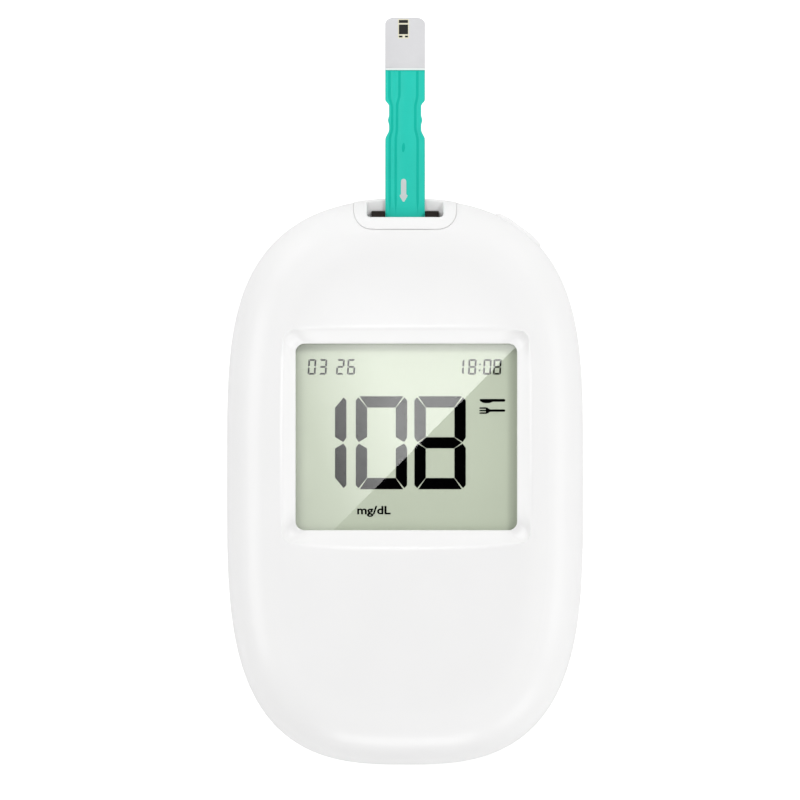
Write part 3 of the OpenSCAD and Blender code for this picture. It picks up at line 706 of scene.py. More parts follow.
# the can and the cap of the cell, as radius and height above its lower face
cellProfile = [
    (0.001, 0), (9.2, 0), (9.35, 0.03), (9.45, 0.1), (9.7, 0.13), (9.9, 0.22), (10, 0.4), (10, 2.5),
    (9.93, 2.72), (9.75, 2.8), (9.2, 2.8), (8.95, 2.76), (8.82, 2.78), (8.8, 2.95), (8.7, 3.12), (8.5, 3.2),
    (0.001, 3.2)]
coinCell = turnedProfile("cell_can", 0, cellY, [(r, cellZ + z) for r, z in cellProfile])

print("making the lens and the display's figures")


lensForm = {"gap": 0.1, "flange": 3.8, "flangeRadius": 2, "flangeThickness": 0.8, "bevel": 0.12}


def lensMesh():
    f, r = lensForm, screenForm["radius"]
    w, l = screenForm["width"] - f["gap"], screenForm["length"] - f["gap"]
    fw, fl = screenForm["width"] + f["flange"], screenForm["length"] + f["flange"]
    cx, cy = screenForm["middleX"], screenForm["middleY"]
    bevel, top = f["bevel"], sillZ - f["gap"]
    flange, face = roundRect(fw, fl, f["flangeRadius"], 8, 0, cy), roundRect(w, l, r, 8, cx, cy)
    upper = roundRect(w - 2 * bevel, l - 2 * bevel, r - bevel, 8, cx, cy)
    rings = [flat(flange, wellZ - f["flangeThickness"]), flat(flange, wellZ), flat(face, wellZ),
             flat(face, top - bevel), flat(upper, top)]
    return ringMesh("window_lens", rings, sharpOver=30)


clearLens = lensMesh()

# places on the display are counted on the picture, which shows 0.16 mm to the pixel
displayForm = {
    "pixel": 0.16,
    "zeroX": 405.1,
    "zeroY": 481.8,
    "height": 14.61,
    "inkDepth": 0.02,
    "bigSize": (51.2, 92.7, 11.3, 0.0),
    "bigTop": 396.3,
    "bigValue": [("1", 295.3), ("0", 355.9), ("8", 414.4)],
    "smallSize": (7.9, 15.4, 1.72, 0.27),
    "smallTop": 359.3,
    "smallLean": 0.9,
    "dateLine": [("0", 307.8), ("3", 318.7), ("2", 336.1), ("6", 347.0)],
    "clockLine": [("1", 455.5), ("8", 467.7), ("0", 482.7), ("8", 492.6)],
    "colon": (479.1, (364.4, 370.4), 0.75),
    "unit": "mg/dL",
    "unitLowLeft": (357.3, 516.6),
    "unitHighRight": (390.7, 505.6),
    "unitWeight": 0.026,
}
litSegments = {"0": "abcdef", "1": "bc", "2": "abged", "3": "abgcd", "6": "afgcde", "8": "abcdefg"}


def onDisplay(px, py, lift=0.0):
    f = displayForm
    return ((px - f["zeroX"]) * f["pixel"], (f["zeroY"] - py) * f["pixel"], f["height"] + lift)


def segmentOutline(letter, wide, high, bar, gap):
    # bars with pointed ends; y runs down from the digit's top
    half = high / 2
    if letter in "ad":
        shape = [(0.345 * bar + gap, 0), (wide - 0.345 * bar - gap, 0), (wide - 1.02 * bar - gap, 0.99 * bar),
                 (1.02 * bar + gap, 0.99 * bar)]
    elif letter == "g":
        shape = [(0.36 * bar + gap, half), (1.03 * bar + gap, half - 0.49 * bar),
                 (wide - 1.03 * bar - gap, half - 0.49 * bar), (wide - 0.36 * bar - gap, half),
                 (wide - 1.03 * bar - gap, half + 0.49 * bar), (1.03 * bar + gap, half + 0.49 * bar)]
    else:
        shape = [(wide - 0.24 * bar, 0.1 * bar + gap), (wide, 0.37 * bar + gap),
                 (wide, half - 0.46 * bar - gap), (wide - 0.27 * bar, half - 0.07 * bar - gap),
                 (wide - bar, half - 0.51 * bar - gap), (wide - bar, 1.02 * bar + gap)]
    if letter in "ef":
        shape = [(wide - x, y) for x, y in shape]
    if letter in "cde":
        shape = [(x, high - y) for x, y in shape]
    return shape


def inkMesh(name, outlines):
    # thin plates, one for each outline
    points, faces = [], []
    depth = displayForm["inkDepth"]
    for outline in outlines:
        n, start = len(outline), len(points)
        points += [onDisplay(x, y, 0) for x, y in outline] + [onDisplay(x, y, depth) for x, y in outline]
        faces.append(tuple(start + i for i in range(n)))
        faces.append(tuple(start + n + i for i in range(n - 1, -1, -1)))
        for i in range(n):
            j = (i + 1) % n
            faces.append((start + j, start + i, start + n + i, start + n + j))
    return meshMade(name, points, faces)


def digitOutlines(places, size, top, lean):
    outlines = []
    for digit, left in places:
        for letter in litSegments[digit]:
            outlines.append([(left + x + lean * (1 - y / size[1]), top + y)
                             for x, y in segmentOutline(letter, *size)])
    return outlines


def bigDigits():
    f = displayForm
    return inkMesh("display_value", digitOutlines(f["bigValue"], f["bigSize"], f["bigTop"], 0))


def dotOutline(x, y, half):
    return [(x + u * half, y + v * half) for u, v in ((-1, -1), (1, -1), (1, 1), (-1, 1))]


def smallDigits():
    f = displayForm
    outlines = digitOutlines(f["dateLine"] + f["clockLine"], f["smallSize"], f["smallTop"], f["smallLean"])
    x, rows, half = f["colon"]
    for y in rows:
        lean = f["smallLean"] * (1 - (y - f["smallTop"]) / f["smallSize"][1])
        outlines.append(dotOutline(x + lean, y, half))
    return inkMesh("display_date_and_time", outlines)


# a small knife and fork, on the same picture
mealForm = {
    "knifeEdge": [(479.3, 399.9), (479.8, 399.2), (480.6, 399.0)],
    "knifeEnd": (503.7, 400.35, 1.35),
    "knifeBack": [(492.6, 401.7), (491.6, 402.2), (489.8, 402.8), (487.5, 403.1), (484.5, 403.1),
                  (482.2, 402.5), (480.3, 401.3)],
    "forkNeck": [(488.6, 408.7), (489.8, 409.4)],
    "forkEnd": (503.8, 410.55, 1.15),
    "forkRoot": [(489.8, 411.7), (488.6, 412.5), (487.0, 413.5), (485.6, 413.8), (485.6, 407.3),
                 (487.0, 407.6)],
    "tineRows": (408.05, 410.55, 413.05),
    "tine": [(479.2, -0.45), (479.9, -0.7), (485.8, -0.75), (485.8, 0.75), (479.9, 0.7), (479.2, 0.45)],
}


def mealSigns():
    f = mealForm
    knife = f["knifeEdge"] + arcPoints(*f["knifeEnd"], 270, 6, 180) + f["knifeBack"]
    handle = f["forkNeck"] + arcPoints(*f["forkEnd"], 270, 6, 180) + f["forkRoot"]
    tines = [[(x, row + y) for x, y in f["tine"]] for row in f["tineRows"]]
    return inkMesh("display_meal_sign", [knife, handle] + tines)


def unitSign():
    f = displayForm
    curve = bpy.data.curves.new("display_unit", "FONT")
    curve.body = f["unit"]
    curve.size = 1
    curve.offset = f["unitWeight"]
    curve.extrude = 0
    curve.resolution_u = 3
    text = placed("display_unit_text", curve)
    bpy.context.view_layer.update()
    graph = bpy.context.evaluated_depsgraph_get()
    mesh = bpy.data.meshes.new_from_object(text.evaluated_get(graph))
    bpy.data.objects.remove(text)
    xs, ys = [v.co.x for v in mesh.vertices], [v.co.y for v in mesh.vertices]
    left, low, _ = onDisplay(*f["unitLowLeft"])
    right, high, _ = onDisplay(*f["unitHighRight"])
    sx, sy = (right - left) / (max(xs) - min(xs)), (high - low) / (max(ys) - min(ys))
    for v in mesh.vertices:
        x, y = left + (v.co.x - min(xs)) * sx, low + (v.co.y - min(ys)) * sy
        v.co = Vector((x, y, f["height"])) * mm
    piece = placed("display_unit", mesh)
    thick = piece.modifiers.new("ink", "SOLIDIFY")
    thick.thickness = f["inkDepth"] * mm
    thick.offset = 1
    applied(piece)
    return finishMesh(piece)


figures = [bigDigits(), smallDigits(), mealSigns(), unitSign()]

print("making the test strip")
stripForm = {
    "width": 6.4,
    "length": 40.3,
    "end": 33.9,
    "bottom": 10.95,
    "base": 0.35,
    "film": 0.15,
    "tip": 8.4,
    "bare": 4.2,
    "tipWide": 1.5,
    "tipHigh": 1.0,
    "groove": 0.05,
    "lineWidth": 0.42,
    "filmInset": 0.05,
    "lineSlope": 0.07,
    "linesFade": (4.6, 2.5),
    # the middle line and the upper end on the picture
    "middlePixel": 404.1,
    "topPixel": 18.0,
    "padSize": (1.2, 3.8, 0.15),
    "padStep": 1.9,
    "padMiddle": 2.2,
}
st = stripForm
stripTop = st["end"] + st["length"]
stripFace = st["bottom"] + st["base"]
filmTop = stripFace + st["film"]


def eased(t):
    t = min(max(t, 0), 1)
    return t * t * (3 - 2 * t)


def between(y, stops):
    # a value that follows the stops smoothly
    for (y0, v0), (y1, v1) in zip(stops, stops[1:]):
        if y <= y1:
            return v0 + (v1 - v0) * eased((y - y0) / (y1 - y0))
    return stops[-1][1]


def stripHalf(y):
    down = y - stripTop
    return st["width"] / 2 - between(down, [(-41, 0), (-19.5, 0), (-17.9, 0.6), (-17.2, 0.6), (-16.4, 0.42),
                                            (-15.6, 0.6), (-14.1, 0.6), (-13.15, 0), (0, 0)])


def stripRows(low, high):
    rows = [low]
    y = low
    while y < high - 0.4:
        y += 0.25 if -20 < y - stripTop < -12.8 else 0.8
        rows.append(min(y, high))
    if rows[-1] < high:
        rows.append(high)
    return rows


def stripOutline(low, high, tip, inset=0.0):
    rows = [y for y in stripRows(low + inset, high - (st["tipHigh"] if tip else inset))]
    right = [(stripHalf(y) - inset, y) for y in rows]
    left = [(-x, y) for x, y in right[::-1]]
    if not tip:
        return right + left
    wide, tall, half = st["tipWide"], st["tipHigh"], st["width"] / 2
    turn = [math.radians(9 * k) for k in range(11)]
    corner = [(half - wide + (wide - inset) * math.cos(a), high - tall + (tall - inset) * math.sin(a))
              for a in turn]
    return right[:-1] + corner + [(-x, y) for x, y in corner[::-1]] + left[1:]


def filmPlate(name, low, high, z0, z1, tip, edge=0.03):
    outer, top = stripOutline(low, high, tip), stripOutline(low, high, tip, edge)
    return ringMesh(name, [flat(outer, z0), flat(outer, z1 - edge), flat(top, z1)], sharpOver=50)


stripBase = filmPlate("strip_base_film", st["end"], stripTop, st["bottom"], stripFace, True)
stripTip = filmPlate("strip_tip_film", stripTop - st["tip"] + 0.12, stripTop, stripFace, filmTop, True)

# the pressed lines of the teal film: side distance at heights below the strip's top
lineStops = [
    [(-41, -2.45), (-19.6, -2.45), (-17.6, -2.08), (-14.4, -2.08), (-12.6, -2.5), (0, -2.5)],
    [(-41, -1.5), (-19.6, -1.5), (-17.6, -1.3), (-14.2, -1.28), (-12.2, -0.9), (0, -0.9)],
    [(-41, 2.0), (-19.6, 2.0), (-17.6, 1.62), (-14.4, 1.62), (-12.4, 1.95), (0, 1.95)],
]


def tealFilmMesh():
    low, high = st["end"] + st["bare"], stripTop - st["tip"]
    rows = stripRows(low, high - 0.5) + [high - 0.18, high]
    slope = st["lineSlope"]
    fadeStart, fadeLength = st["linesFade"]
    points, faces, dark = [], [], []
    perRow = 2 + 4 * len(lineStops)
    for y in rows:
        half = stripHalf(y) - st["filmInset"]
        down = y - stripTop
        fade = eased((y - (low + fadeStart)) / fadeLength)
        row = [(-half, y, filmTop)]
        for stops in lineStops:
            x = between(down, stops)
            w = max(st["lineWidth"] / 2 * fade, 0.01)
            z = filmTop - st["groove"] * fade
            row += [(x - w - slope, y, filmTop), (x - w, y, z), (x + w, y, z), (x + w + slope, y, filmTop)]
        row.append((half, y, filmTop))
        points += row
    top = len(points)
    for k in range(len(rows) - 1):
        for i in range(perRow - 1):
            faces.append((k * perRow + i, k * perRow + i + 1, (k + 1) * perRow + i + 1, (k + 1) * perRow + i))
            # the groove bottoms, and the whole last row of faces next to the tip film, take the darker teal
            dark.append(1 if i % 4 == 2 or k == len(rows) - 2 else 0)
    for y in rows:
        half = stripHalf(y) - st["filmInset"]
        points += [(-half, y, stripFace), (half, y, stripFace)]
    for k in range(len(rows) - 1):
        a, b = top + 2 * k, top + 2 * k + 2
        faces.append((a + 1, a, b, b + 1))
        faces.append((a, k * perRow, (k + 1) * perRow, b))
        faces.append((k * perRow + perRow - 1, a + 1, b + 1, (k + 1) * perRow + perRow - 1))
        dark += [0, 0, 0]
    last = (len(rows) - 1) * perRow
    end = top + 2 * (len(rows) - 1)
    faces.append(tuple(range(perRow)) + (top + 1, top))
    faces.append(tuple(range(last + perRow - 1, last - 1, -1)) + (end, end + 1))
    dark += [0, 0]
    mesh = bpy.data.meshes.new("strip_teal_film")
    mesh.from_pydata([[c * mm for c in p] for p in points], [], faces)
    for polygon, index in zip(mesh.polygons, dark):
        polygon.material_index = index
    return finishMesh(placed("strip_teal_film", mesh), 50)


tealFilm = tealFilmMesh()


def thinPlate(name, outline, z, depth=0.015):
    return ringMesh(name, [flat(outline, z - 0.01), flat(outline, z + depth)])


def stripPoint(px, py):
    # a place on the strip, from its middle line and its top end
    pixel = displayForm["pixel"]
    return (px - st["middlePixel"]) * pixel, stripTop - (py - st["topPixel"]) * pixel


def arrowMesh():
    cx, top = stripPoint(402.6, 179.0)
    _, low = stripPoint(402.6, 202.0)
    half, headHalf, neck = 0.42, 0.62, low + 1.15
    outline = (arcPoints(cx, top - half, half, 0, 12, 180)
               + [(cx - half, neck + 0.1), (cx - half - 0.04, neck), (cx - headHalf, neck - 0.06)]
               + arcPoints(cx - headHalf + 0.12, neck - 0.2, 0.13, 120, 4, 100)
               + arcPoints(cx, low + 0.18, 0.18, 225, 6)
               + arcPoints(cx + headHalf - 0.12, neck - 0.2, 0.13, -40, 4, 100)
               + [(cx + headHalf, neck - 0.06), (cx + half + 0.04, neck), (cx + half, neck + 0.1)])
    return thinPlate("strip_arrow", outline, filmTop)


def ovalMesh():
    cx, cy = stripPoint(402.4, 147.8)
    outline = [(cx + 0.24 * math.cos(math.radians(a)) + 0.05 * math.sin(math.radians(a)),
                cy + 0.74 * math.sin(math.radians(a))) for a in range(0, 360, 12)]
    return thinPlate("strip_oval", outline, filmTop, 0.01)


# the printed marks near the strip's top, as left, top, right and bottom on the picture
electrodeMarks = [(397.9, 20.4, 407.0, 23.4), (397.9, 25.0, 407.0, 34.6), (397.9, 36.1, 401.5, 37.8),
                  (404.0, 36.1, 407.0, 37.8)]


def electrodesMesh():
    points, faces = [], []
    for left, top, right, bottom in electrodeMarks:
        (x0, y0), (x1, y1), start = stripPoint(left, bottom), stripPoint(right, top), len(points)
        outline = [(x0, y0), (x1, y0), (x1, y1), (x0, y1)]
        points += flat(outline, filmTop) + flat(outline, filmTop + 0.03)
        faces += [(start + 3, start + 2, start + 1, start), (start + 4, start + 5, start + 6, start + 7)]
        for i in range(4):
            j = (i + 1) % 4
            faces.append((start + i, start + j, start + 4 + j, start + 4 + i))
    marks = meshMade("electrode_marks", points, faces)
    # the three contact pads at the inserted end
    wide, long, corner = st["padSize"]
    for k in (-1, 0, 1):
        join(marks, softPlate("pad", wide, long, corner, stripFace, stripFace + 0.03, 0.01,
                              k * st["padStep"], st["end"] + st["padMiddle"], 3, 1))
    return marks


def join(piece, other):
    work = bmesh.new()
    work.from_mesh(piece.data)
    work.from_mesh(other.data)
    work.to_mesh(piece.data)
    work.free()
    bpy.data.objects.remove(other)
    return piece


arrow = arrowMesh()
oval = ovalMesh()
electrodes = electrodesMesh()
ax, ay = stripPoint(396.9, 38.9)
bx, by = stripPoint(408.0, 19.4)
borderOutline = roundRect(bx - ax, by - ay, 0.15, 4, (ax + bx) / 2, (ay + by) / 2)
electrodeBorder = thinPlate("electrode_border", borderOutline, filmTop, 0.012)
# a bright band over the seam between the tip film and the teal film: the base film's white, raised out of the
# gap and made lighter than that film, so the gap's shade is painted out
seamY, seamHalf = stripTop - st["tip"] + 0.14, 3.12
seamOutline = [(-seamHalf, seamY - 0.12), (seamHalf, seamY - 0.12), (seamHalf, seamY + 0.16),
               (-seamHalf, seamY + 0.16)]
tipSeamPaintedLight = thinPlate("strip_seam_painted_light", seamOutline, filmTop, 0.02)

# ---- materials
print("mixing the materials")


def setInputs(made, values):
    for key, value in values.items():
        made.inputs[key].default_value = value


def newNode(tree, kind, values=None):
    made = tree.nodes.new("ShaderNode" + kind)
    setInputs(made, values or {})
    return made


def newMaterial(name):
    material = bpy.data.materials.new(name)
    material.use_nodes = True
    tree = material.node_tree
    return material, tree, tree.links, tree.nodes["Principled BSDF"]


def placeOf(tree):
    return newNode(tree, "TexCoord").outputs["Object"]


def noise(tree, scale, detail=3, stretch=(1, 1, 1)):
    size = newNode(tree, "Mapping", {"Scale": stretch})
    texture = newNode(tree, "TexNoise", {"Scale": scale, "Detail": detail, "Roughness": 0.55})
    tree.links.new(placeOf(tree), size.inputs["Vector"])
    tree.links.new(size.outputs["Vector"], texture.inputs["Vector"])
    return texture.outputs["Fac"]


def ramp(tree, value, low, high):
    # each end is a place and its colour
    made = newNode(tree, "ValToRGB")
    for element, (position, colour) in zip(made.color_ramp.elements, (low, high)):
        element.position, element.color = position, colour
    tree.links.new(value, made.inputs["Fac"])
    return made.outputs["Color"]


def spread(tree, value, low, high):
    made = newNode(tree, "MapRange", {"To Min": low, "To Max": high})
    tree.links.new(value, made.inputs["Value"])
    return made.outputs["Result"]


def bumped(tree, shader, value, strength, distance):
    made = newNode(tree, "Bump", {"Strength": strength, "Distance": distance})
    tree.links.new(value, made.inputs["Height"])
    tree.links.new(made.outputs["Normal"], shader.inputs["Normal"])


def darker(colour, share):
    return tuple(c * share for c in colour[:3]) + (1,)


def grey(v, warm=0.0):
    return (v, v * (1 - warm), v * (1 - 2 * warm), 1)


finishes = {
    "whiteShell": {"colour": 0.88, "warm": 0.002, "rough": (0.34, 0.42), "texture": 0.05, "coat": 0.2},
    "innerWhite": {"colour": 0.8, "warm": 0.006, "rough": (0.42, 0.52), "texture": 0.1, "coat": 0.0},
    "windowTint": (0.985, 0.99, 0.985, 1),
    "windowGloss": (0.04, 0.9),
    "screenGreen": (0.7, 0.755, 0.615),
    "glassGreen": (0.5, 0.54, 0.43),
    "reflector": (0.6, 0.62, 0.58),
    "tealLight": (0.022, 0.61, 0.49, 1),
    "tealDark": (0.002, 0.5, 0.39, 1),
    "boardMask": ((0.012, 0.13, 0.055, 1), (0.014, 0.15, 0.062, 1)),
    "boardTrack": (0.03, 0.26, 0.11, 1),
    "boardPad": (0.6, 0.52, 0.3, 1),
    "contactLayers": ((0.02, 0.02, 0.02, 1), (0.62, 0.26, 0.32, 1)),
}


def whitePlastic(name, look):
    # moulded plastic: an even colour with a trace of cloudiness, and a very fine skin
    material, tree, links, shader = newMaterial(name)
    base, warm = look["colour"], look["warm"]
    colour = ramp(tree, noise(tree, 60, 3), (0.3, grey(base * 0.985, warm)), (0.7, grey(base, warm)))
    links.new(colour, shader.inputs["Base Color"])
    links.new(spread(tree, noise(tree, 240, 5), *look["rough"]), shader.inputs["Roughness"])
    bumped(tree, shader, noise(tree, 2600, 2), look["texture"], 0.00003)
    setInputs(shader, {"Coat Weight": look["coat"], "Coat Roughness": 0.12, "IOR": 1.49})
    return material


def clearPlastic(name):
    # light goes straight through the thin window, and its faces mirror by their angle
    material, tree, links, shader = newMaterial(name)
    tree.nodes.remove(shader)
    straightOn, atEdge = finishes["windowGloss"]
    through = newNode(tree, "BsdfTransparent", {"Color": finishes["windowTint"]})
    mirror = newNode(tree, "BsdfGlossy", {"Roughness": 0.02})
    facing = newNode(tree, "LayerWeight", {"Blend": 0.5})
    steep = newNode(tree, "Math", {1: 5})
    steep.operation = "POWER"
    share = newNode(tree, "Math", {1: atEdge, 2: straightOn})
    share.operation = "MULTIPLY_ADD"
    mix = newNode(tree, "MixShader")
    links.new(facing.outputs["Facing"], steep.inputs[0])
    links.new(steep.outputs[0], share.inputs[0])
    links.new(share.outputs[0], mix.inputs["Fac"])
    links.new(through.outputs["BSDF"], mix.inputs[1])
    links.new(mirror.outputs["BSDF"], mix.inputs[2])
    links.new(mix.outputs["Shader"], tree.nodes["Material Output"].inputs["Surface"])
    return material


def plainPlastic(name, colour, rough=(0.4, 0.55), texture=0.15, scale=1800, vary=0.92, shine=0.5):
    material, tree, links, shader = newMaterial(name)
    cloudy = ramp(tree, noise(tree, 300, 4), (0.3, darker(colour, vary)), (0.7, colour))
    links.new(cloudy, shader.inputs["Base Color"])
    links.new(spread(tree, noise(tree, 900, 4), *rough), shader.inputs["Roughness"])
    bumped(tree, shader, noise(tree, scale, 3), texture, 0.00004)
    setInputs(shader, {"Specular IOR Level": shine})
    return material


def metal(name, colour, rough=(0.22, 0.38), stretch=(1, 18, 1), texture=0.1):
    # drawn metal: fine streaks along one direction
    material, tree, links, shader = newMaterial(name)
    setInputs(shader, {"Metallic": 1})
    streaks = noise(tree, 700, 4, stretch)
    streaked = ramp(tree, streaks, (0.3, darker(colour, 0.88)), (0.7, colour))
    links.new(streaked, shader.inputs["Base Color"])
    links.new(spread(tree, streaks, *rough), shader.inputs["Roughness"])
    bumped(tree, shader, streaks, texture, 0.00002)
    return material


def foam(name, colour):
    # small cells, darker in their middles
    material, tree, links, shader = newMaterial(name)
    cells = newNode(tree, "TexVoronoi", {"Scale": 4200})
    links.new(placeOf(tree), cells.inputs["Vector"])
    depth = cells.outputs["Distance"]
    links.new(ramp(tree, depth, (0.0, darker(colour, 0.5)), (0.6, colour)), shader.inputs["Base Color"])
    setInputs(shader, {"Roughness": 0.85})
    bumped(tree, shader, depth, 0.6, 0.0001)
    return material


def displayFilm(name, colour):
    # the reflective display's ground: greenish grey with a very fine grain
    material, tree, links, shader = newMaterial(name)
    grain = noise(tree, 5200, 2)
    ground = ramp(tree, grain, (0.35, darker(colour, 0.975)), (0.65, (*colour, 1)))
    links.new(ground, shader.inputs["Base Color"])
    links.new(spread(tree, grain, 0.42, 0.5), shader.inputs["Roughness"])
    setInputs(shader, {"Specular IOR Level": 0.1})
    return material


def circuitBoard(name):
    # solder mask over copper tracks, with bare pads
    material, tree, links, shader = newMaterial(name)
    place = placeOf(tree)
    maskA, maskB = finishes["boardMask"]
    bend = newNode(tree, "Mapping", {"Rotation": (0, 0, math.radians(45))})
    tracks = newNode(tree, "TexBrick", {"Scale": 260, "Mortar Size": 0.035, "Color1": maskA,
                                        "Color2": maskB, "Mortar": finishes["boardTrack"]})
    pads = newNode(tree, "TexVoronoi", {"Scale": 380})
    links.new(place, bend.inputs["Vector"])
    links.new(bend.outputs["Vector"], tracks.inputs["Vector"])
    links.new(place, pads.inputs["Vector"])
    dot = ramp(tree, pads.outputs["Distance"], (0.1, (1, 1, 1, 1)), (0.13, (0, 0, 0, 1)))
    mix = newNode(tree, "Mix")
    mix.data_type = "RGBA"
    setInputs(mix, {7: finishes["boardPad"]})
    links.new(dot, mix.inputs[0])
    links.new(tracks.outputs["Color"], mix.inputs[6])
    links.new(mix.outputs[2], shader.inputs["Base Color"])
    links.new(spread(tree, noise(tree, 500, 3), 0.28, 0.42), shader.inputs["Roughness"])
    bumped(tree, shader, tracks.outputs["Fac"], 0.2, 0.00004)
    return material


def elastomer(name):
    # thin black and pink layers across the contact strip
    material, tree, links, shader = newMaterial(name)
    black, pink = finishes["contactLayers"]
    layers = newNode(tree, "TexWave", {"Scale": 2600})
    links.new(placeOf(tree), layers.inputs["Vector"])
    links.new(ramp(tree, layers.outputs["Fac"], (0.4, black), (0.6, pink)), shader.inputs["Base Color"])
    setInputs(shader, {"Roughness": 0.6})
    return material


def printedFilm(name, colour):
    return plainPlastic(name, colour, (0.3, 0.42), 0.08, 2400, 0.96, 0.3)


whiteShell = whitePlastic("white gloss plastic", finishes["whiteShell"])
innerWhite = whitePlastic("white satin plastic", finishes["innerWhite"])
windowClear = clearPlastic("clear window plastic")
inkBlack = plainPlastic("display ink", (0.0006, 0.0006, 0.0008, 1), (0.5, 0.6), 0.02, 3000, 0.9, 0.0)
screenGreen = displayFilm("display ground", finishes["screenGreen"])
glassGreen = displayFilm("display glass", finishes["glassGreen"])
tealFilmLight = printedFilm("teal film", finishes["tealLight"])
tealFilmDark = printedFilm("darker teal film", finishes["tealDark"])
stripWhite = printedFilm("pale strip film", (0.72, 0.72, 0.735, 1))
stripEdgeWhite = printedFilm("strip base film", (0.8, 0.8, 0.8, 1))
arrowWhite = printedFilm("arrow print", (0.62, 0.66, 0.66, 1))
# the seam band: brighter than the base film, painted light where the gap would lie in shade
seamPaintedLight = printedFilm("film seam with painted light", (0.86, 0.92, 0.9, 1))
creamPrint = printedFilm("cream print", (0.82, 0.79, 0.62, 1))
carbonPrint = plainPlastic("carbon print", (0.012, 0.012, 0.01, 1), (0.5, 0.7), 0.3, 3200, 0.7)
darkPlastic = plainPlastic("dark connector plastic", (0.018, 0.012, 0.01, 1), (0.3, 0.45), 0.15, 1600, 0.7)
chipBlack = plainPlastic("chip black", (0.02, 0.02, 0.021, 1), (0.5, 0.65), 0.35, 2600, 0.75)
chipTan = plainPlastic("small chips", (0.45, 0.33, 0.2, 1), (0.45, 0.6), 0.2)
blackFoam = foam("black foam", (0.03, 0.03, 0.03, 1))
greyFoam = foam("grey foam", (0.12, 0.12, 0.125, 1))
boardGreen = circuitBoard("circuit board")
contactLayers = elastomer("contact layers")
goldPlate = metal("gold plated spring", (0.83, 0.62, 0.28, 1), (0.18, 0.3))
cellSteel = metal("cell steel", (0.62, 0.62, 0.63, 1), (0.16, 0.28), (1, 1, 1), 0.06)
canSteel = metal("can steel", (0.6, 0.61, 0.62, 1))
screwSteel = metal("screw steel", (0.4, 0.4, 0.42, 1), (0.25, 0.4), (1, 1, 10))
reflector = displayFilm("display reflector", finishes["reflector"])


def dress(piece, *materials):
    faces = piece.data.polygons
    kept = [face.material_index if len(materials) > 1 else 0 for face in faces]
    piece.data.materials.clear()
    for material in materials:
        piece.data.materials.append(material)
    faces.foreach_set("material_index", kept)


# ---- pieces take their bodies, their nodes' places and their finishes
dressed = [
    (frontCover, "case", "front_cover", "white_shell", [whiteShell]),
    (rearCover, "case", "rear_cover", "white_shell", [whiteShell]),
    (portSurround, "case", "port_surround", "white_shell", [whiteShell]),
    (clearLens, "case", "screen_lens", "clear_lens", [windowClear]),
    (sideKey, "side_key", "side_key", "white_shell", [whiteShell]),
    (batteryDoor, "battery_door", "battery_door", "white_shell", [whiteShell]),
    (doorLatch, "battery_door", "door_latch", "white_shell", [whiteShell]),
    (coinCell, "case", "coin_cell", "cell_steel", [cellSteel]),
    (stripBase, "test_strip", "strip_base", "strip_film", [stripEdgeWhite]),
    (stripTip, "test_strip", "strip_tip", "strip_film", [stripWhite]),
    (tealFilm, "test_strip", "strip_cover", "strip_teal", [tealFilmLight, tealFilmDark]),
    (electrodes, "test_strip", "strip_electrodes", "strip_carbon", [carbonPrint]),
    (arrow, "test_strip", None, "strip_film", [arrowWhite]),
    (tipSeamPaintedLight, "test_strip", None, "strip_film", [seamPaintedLight]),
    (oval, "test_strip", None, "strip_teal", [tealFilmDark]),
    (electrodeBorder, "test_strip", None, "strip_film", [creamPrint]),
]
for piece in figures:
    dressed.append((piece, "case", None, "polarizer_film", [inkBlack]))
for piece, body, node, slotName, materials in dressed:
    dress(piece, *materials)
    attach(piece, body)
    if node:
        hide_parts(node)

finishOf = {
    "lens_gasket": blackFoam, "front_polarizer": screenGreen, "display_front_glass": glassGreen,
    "display_rear_glass": glassGreen, "display_reflector": reflector, "display_frame": innerWhite,
    "elastomer_contact": contactLayers, "main_board": boardGreen, "microcontroller": chipBlack,
    "sensor_chip": chipBlack, "clock_crystal": canSteel, "buzzer": chipBlack, "board_parts": chipTan,
    "key_switch": canSteel, "strip_connector": darkPlastic, "strip_contacts": goldPlate,
    "minus_contact": goldPlate, "plus_contact": goldPlate, "case_screws": screwSteel,
    "board_screws": screwSteel, "door_pad": greyFoam, "key_plunger": chipBlack,
}
for name, material in finishOf.items():
    for place in nodes[name].material_slots:
        place.material = material

# ---- studio
print("setting the studio")
studio = {
    "floorSize": 6.0,
    "floorColour": 0.8,
    "floorGlow": 0.5,
    "floorGloss": 0.12,
    "skyLevel": 0.46,
    "lampDistance": 1.44,
    # direction seen from above, height above the table in degrees, watts, width, height
    "lamps": {
        "key": (43, 50, 5.4, 0.34, 0.34),
        "right": (0, 18, 2.3, 0.9, 0.6),
        "upper right low": (45, 20, 1.0, 0.7, 0.5),
        "top": (90, 22, 0.9, 0.9, 0.6),
        "upper left low": (135, 16, 1.4, 0.7, 0.5),
        "upper left high": (135, 55, 3.9, 0.6, 0.6),
        "left": (180, 23, 3.9, 1.0, 0.6),
        "low": (270, 17, 4.8, 0.9, 0.5),
        "lower right": (315, 15, 2.5, 0.7, 0.5),
    },
    # lamps from this height up aren't mirrored by the glossy case
    "mirroredBelow": 45,
    "flag": [(-0.2, -0.2), (0.2, -0.2), (0.2, 0.24), (-0.2, 0.24)],
    "flagHeight": 0.6,
    # the glare card: its height above the window, the part of the picture it covers, and how
    # its strength rises along one direction
    "glareHeight": 45,
    "glareCorners": [(291.0, 338.0), (524.5, 338.0), (329.5, 534.0), (291.0, 534.0)],
    "glareAxis": (1, 0.35, 0),
    "glareSpan": (-0.0125, 0.002),
    "glareStrength": (1.5, 4.7),
}
view = {"distance": 2.4, "fieldWidth": 0.128, "planeZ": 8.4, "middlePixel": 400}


